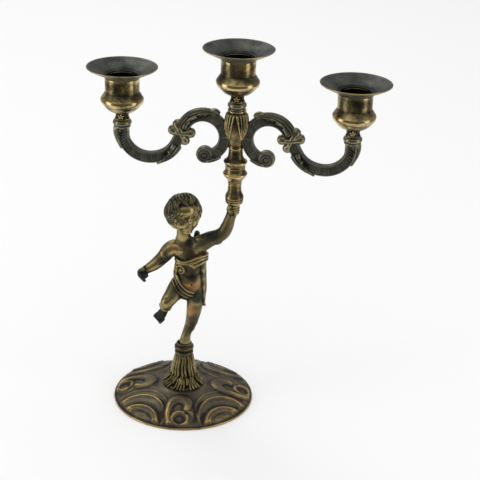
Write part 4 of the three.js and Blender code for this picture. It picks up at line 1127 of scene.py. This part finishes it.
# Arms: two alike and mirrored, each one casting of an inner scroll that ends in a volute, a knot of four
# lobes and an outer sweep up to the cup. A steel pin holds each to the urn. They are nearly black.
SCROLL = (23.5, 214.0)
SCROLL_RADIUS = 15.2
SWEEP = (63.6, 213.9)
SWEEP_RADIUS = 19.2
SWEEP_START = 21.5
ARM_REACH = 82.8
ARM_TOP = 216.2
BAND_DEPTH = 3.5
BAND_WIDTH = 4.2
KNOT = (39.4, 215.4)
VOLUTE = (22.3, 200.0)
TICK_GAP = 1.5
SQUARENESS = 0.55               # 1 would make the band's section an oval


def on_scroll(turn):
    """A place on the inner scroll's middle line, by degrees up from the right."""
    turn = radians(turn)
    return SCROLL[0] + SCROLL_RADIUS * cos(turn), SCROLL[1] + SCROLL_RADIUS * sin(turn)


def on_sweep(turn):
    """A place on the outer sweep's middle line, by degrees outwards from its lowest point."""
    reach = SWEEP_START if turn < 0 else SWEEP_RADIUS
    turn = radians(turn)
    return SWEEP[0] + reach * sin(turn), SWEEP[1] - SWEEP_RADIUS * cos(turn)


route = [on_scroll(turn) for turn in range(262, 15, -12)] + [on_sweep(turn) for turn in range(-68, 90, 12)]
route += [(ARM_REACH, SWEEP[1]), (ARM_REACH, ARM_TOP)]
route = flowing([(across, 0, height) for across, height in route], 0.36)
along = np.gradient(route, axis=0)
along /= lengths(along)[:, None]
along[-4:] = (0, 0, 1)
outer = np.stack([-along[:, 2], along[:, 1], along[:, 0]], axis=1)
reach = np.concatenate([[0], np.cumsum(lengths(np.diff(route, axis=0)))])


def reach_at(place):
    """How far along the band a place lies."""
    return reach[np.argmin(apart(route[:, 0], route[:, 2], place))]


AROUND = 76
turns = np.linspace(0, 2 * pi, AROUND + 1)
run, turn = np.meshgrid(reach, turns, indexing="ij")
deep, wide = (np.sign(wave) * np.abs(wave) ** SQUARENESS for wave in (np.cos(turn), np.sin(turn)))
arm_end = step_up(run, reach[-1] - 12, reach[-1] - 3)
width = BAND_WIDTH + 0.9 * arm_end
across = wide * width
on_face = step_up(np.abs(deep), 0.75, 0.98)
on_edge = step_up(np.abs(wide), 0.75, 0.98)
face_push = -0.5 * (1 - step_up(np.abs(across), 2.5, 3.1)) * (1 - arm_end)
edge_push = np.zeros_like(run)

for place, count in (
    (on_scroll(226), 3), (on_scroll(176), 1), (on_scroll(150), 2), (on_scroll(124), 4), (on_sweep(-10), 2),
    (on_sweep(8), 3), (on_sweep(34), 2),
):
    for k in range(count):
        middle = reach_at(place) + TICK_GAP * (k - (count - 1) / 2)
        face_push += ridge(run - middle - 0.18 * across, 0.3, 0.35) * (1 - step_up(np.abs(across), 2.4, 3.0))


def leaf(tip, base, side, cover, ribs, teeth):
    """A leaf along one side of the band, from its tip to its base, cover mm wide at its base."""
    tip, base = reach_at(tip), reach_at(base)
    from_tip, from_base = (run - tip) / (base - tip), (run - base) / (base - tip)
    share = np.clip(from_tip, 0, 1)
    present = step_up(from_tip, 0, 0.03) * step_up(-from_base, -0.02, 0.02)
    height = side * across + BAND_WIDTH
    bite = 0.9 * np.abs(np.sin(pi * teeth * share)) * (1 - share)
    top = 2 * BAND_WIDTH + 0.6
    border = top - 1.2 - (cover - 1.2) * share**0.5 + bite
    inside = present * step_up(height - border, 0, 0.5)
    place = np.clip((height - border) / (top - border), 0, 1)
    grooves = 0.6 * np.cos(2 * pi * ribs * place)
    face = inside * (0.9 + grooves)
    edge = present * step_up(side * wide, 0.2, 0.7) * (1.0 + 0.3 * np.cos(2 * pi * 3 * deep))
    return face, edge * side


leaves = [
    leaf((13.1, 232), on_scroll(20), 1, 6.8, 3, 4),
    leaf(on_scroll(230), on_scroll(262), 1, 5.0, 2, 2),
    leaf(on_sweep(-20), on_sweep(-66), -1, 6.8, 3, 3),
    leaf(on_sweep(54), (ARM_REACH, ARM_TOP), -1, 4.2, 2, 2),
]
for face, edge in leaves:
    face_push += face * (1 + np.clip(-face_push, 0, 0.5))
    edge_push += edge
panel = step_up(run, reach[-1] - 14, reach[-1] - 12) * (1 - step_up(np.abs(across), 2.2, 2.9))
face_push += panel * 0.3 * (np.sin(run * 3.1 + 1.3 * across) * np.cos(across * 2.6) - 0.9)

deep = deep * (BAND_DEPTH + on_face * face_push + 0.3 * arm_end)
across = across + on_edge * edge_push
band_spots = (
    route[:, None, :] + across[..., None] * outer[:, None, :] + deep[..., None] * np.array([0, -1, 0])
)
ends = [np.broadcast_to(route[k], band_spots[0].shape) for k in (0, -1)]
band_spots = np.concatenate([ends[0][None], band_spots, ends[1][None]])
band = added("grid", x_subdivisions=AROUND, y_subdivisions=len(band_spots) - 1, size=MM)
move_spots(band, band_spots.reshape(-1, 3))
tidied(band)

volute_face = [
    (0, 4.3), (1.0, 4.25), (1.5, 3.7), *sharp((1.9, 3.4)), (2.7, 3.9), (3.2, 3.9), *sharp((3.7, 3.4)),
    (4.6, 3.7), (5.6, 3.0), (6.3, 1.4),
]
volute = turned("volute", flowing(
    [*((radius, -height) for radius, height in volute_face), (6.3, 0), *volute_face[::-1]], 0.35), around=72)
volute.data.transform(shift(VOLUTE[0], 0, VOLUTE[1]) @ Matrix.Rotation(pi / 2, 4, "X"))


def lobe(turn, length=7.2, wide=3.8):
    """One rounded petal of the knot, from its middle outwards."""
    across, upwards = length * cos(radians(turn)), length * sin(radians(turn))
    return drawn("lobe", [
        (KNOT[0] + share * across, 0, KNOT[1] + share * upwards, wide * half, wide * deep)
        for share, half, deep in (
            (0.1, 0.7, 1.3), (0.4, 0.74, 1.28), (0.62, 0.8, 1.1), (0.85, 1.0, 1.0), (1.02, 0.96, 0.92),
        )
    ], 28, 0.4, point=0.8)


tips = [drawn("tip", [(across, 0, *sizes) for across, *sizes in line], 24, 0.4) for line in (
    ((20, 232.2, 1.2, 2.4), (17, 233.2, 1.6, 2.8), (14.6, 232.8, 1.7, 2.9), (13.2, 231.8, 1.5, 2.5)),
    ((15, 196.2, 1.1, 2.4), (12.9, 197.6, 1.3, 2.5), (11.4, 198.7, 0.9, 2.0)),
    ((52, 194.4, 1.2, 2.4), (54.6, 191.8, 1.4, 2.5), (56.6, 190.3, 0.9, 2.0)),
    ((86.2, 208, 1.1, 2.4), (84.4, 204.6, 1.5, 2.7), (82.4, 202.4, 1.1, 2.2)),
)]
lobes = [lobe(turn) for turn in (11, 63, 181)] + [lobe(248, 7.4, 3.5)]
bead = drawn("bead", [(KNOT[0], -2.2, KNOT[1], 2.3), (KNOT[0], 2.2, KNOT[1], 2.3)], 28, 0.4, (1, 0, 0), 1.2)
arm = joined("arm_right", [band, volute, bead, *lobes, *tips])

arm_brass = old_brass("arm_brass", [
    (0.1, (0.010, 0.010, 0.008)), (0.4, (0.075, 0.074, 0.060)), (0.62, (0.16, 0.152, 0.112)),
    (0.95, (0.28, 0.25, 0.15)),
], bare=0.4, patch=0.35, rough=(0.44, 0.3))
mirrored = copied(arm)
mirrored.name = "arm_left"
mirrored.data.transform(Matrix.Scale(-1, 4, (1, 0, 0)))
mirrored.data.flip_normals()
finished(arm, arm_brass, "branch", "arm_brass", "scroll_arm_right", reach=1.1, strength=1.0)
finished(mirrored, arm_brass, "branch", "arm_brass", "scroll_arm_left", reach=1.1, strength=1.0)


# Cups: three alike, each a ring, a turned socket for a 22 mm candle and a spun pan that catches the wax.
# The sockets are turned bright and left dull; the pans have gone dark green-grey except at the rim.
BORE = 11.05
PAN_RADIUS = 25.5
CUP_SEAT = 6.2
CUP_HEIGHT = 30.9
PAN_SEAT = 31.2
LIGHTS = {"left": (-ARM_REACH, ARM_TOP), "center": (0.0, URN_TOP), "right": (ARM_REACH, ARM_TOP)}

ring_line = flowing([
    *sharp((ROD_HOLE, 0.3)), (5.9, 0.3), (6.1, 0.6), (6.1, 1.3), *sharp((5.8, 1.7)), (6.3, 2.2), (6.8, 3.1),
    (6.8, 4.1), (6.4, 5.0), (5.7, 5.6), *sharp((5.4, 5.9), (ROD_HOLE, 5.9)), (ROD_HOLE, 0.3),
], 0.3)
cup_line = flowing([
    (0, 9.3), *sharp((ROD_HOLE, 9.3), (ROD_HOLE, 0), (5.5, 0)), (5.4, 0.5), (5.0, 1.2), (4.75, 2.4),
    (4.85, 3.7), *sharp((5.4, 4.9)), (7.2, 5.4), (9.4, 6.5), (11.6, 8.3), (13.3, 10.3),
    *sharp((13.8, 11.0)), (14.6, 11.7), (15.3, 13), (15.6, 14.5), (15.5, 15.2), (14.4, 17), (13.0, 19.2),
    *sharp((12.6, 19.9), (12.35, 20.2)), (12.35, 24), (12.4, 28),
    *sharp((12.6, CUP_HEIGHT), (BORE, CUP_HEIGHT), (BORE, 11.7)), (0, 11.7),
], 0.4)
pan_line = flowing([
    *sharp((BORE, 0)), (12.4, 0), (14, 0.9), (17, 2.6), (20.4, 4.1), (23.2, 5.6), (25.1, 6.6),
    (PAN_RADIUS, 7.0), (PAN_RADIUS, 7.4), (24.9, 7.3), (22.8, 6.4), (20, 5.2), (16.6, 3.7), (13.6, 2.0),
    (12.2, 1.3), *sharp((BORE, 0.8)), (BORE, 0),
], 0.4)


def lifted(line, height):
    return [(radius, height + z) for radius, z in line]


def painted_bore_shade(across, bottom):
    """Darkens the bore, the neck under the socket with the ring below it, and the pan round its bore: painted
    shade where these lie in a hole or under the bowl.
    """
    def darkened_by(spots):
        radius = radius_of(spots, across)
        height = spots[:, 2] - bottom
        neck = 0.16 * step_up(-height, -6.2, -4.4)
        bore = 0.7 * step_up(-radius, -BORE - 0.5, -BORE - 0.1) * step_up(height, 9, 11)
        pan = 0.3 * step_up(-radius, -14.5, -12.5) * step_up(height, CUP_HEIGHT, 31.1)
        return neck + bore + pan
    return darkened_by


def rosette(across, height):
    """A small five-petalled flower cast on the front of a cup's neck."""
    parts = [drawn("bud", [(across, -4.2, height, 0.7), (across, -5.3, height, 0.6)], 8, 0.5, (0, 0, 1))]
    for k in range(5):
        turn = radians(90 + 72 * k)
        line = [(across + share * cos(turn), depth, height + share * sin(turn), size)
                for share, depth, size in ((0.5, -4.4, 0.6), (1.2, -4.75, 0.72), (1.7, -4.3, 0.6))]
        parts.append(drawn("petal", line, 8, 0.5))
    return parts


cup_brass = old_brass("cup_brass", [
    (0.1, (0.010, 0.010, 0.008)), (0.42, (0.048, 0.043, 0.026)), (0.6, (0.17, 0.132, 0.060)),
    (0.85, (0.60, 0.46, 0.21)),
], bare=0.45, patch=0.8, rough=(0.36, 0.2), cover=0.92)
pan_brass = old_brass("pan_brass", [
    (0.12, (0.010, 0.011, 0.009)), (0.42, (0.075, 0.080, 0.068)), (0.66, (0.135, 0.130, 0.095)),
    (0.9, (0.50, 0.38, 0.16)),
], bare=0.46, patch=0.5, rough=(0.55, 0.3), pits=0.25)
for side, (across, seat) in LIGHTS.items():
    bottom = seat + CUP_SEAT
    # Each cup, its ring and its pan get painted shade in and round the bore and under the bowl
    darkened_by = painted_bore_shade(across, bottom)
    ring = turned(f"ring_{side}", lifted(ring_line, seat), across, 80)
    finished(ring, arm_brass, "branch", "stem_brass", f"cup_ring_{side}", strength=1.2, darkened_by=darkened_by)
    cup = turned(f"cup_{side}", lifted(cup_line, bottom), across, 128)
    cup = joined(f"cup_{side}", [cup, *rosette(across, bottom + 2.6)])
    finished(cup, cup_brass, f"cup_{side}", "cup_brass", f"candle_cup_{side}", reach=1.6, darkened_by=darkened_by)
    pan = turned(f"pan_{side}", lifted(pan_line, bottom + PAN_SEAT), across, 160)
    finished(pan, pan_brass, f"cup_{side}", "pan_brass", f"drip_pan_{side}", reach=1.4, darkened_by=darkened_by)
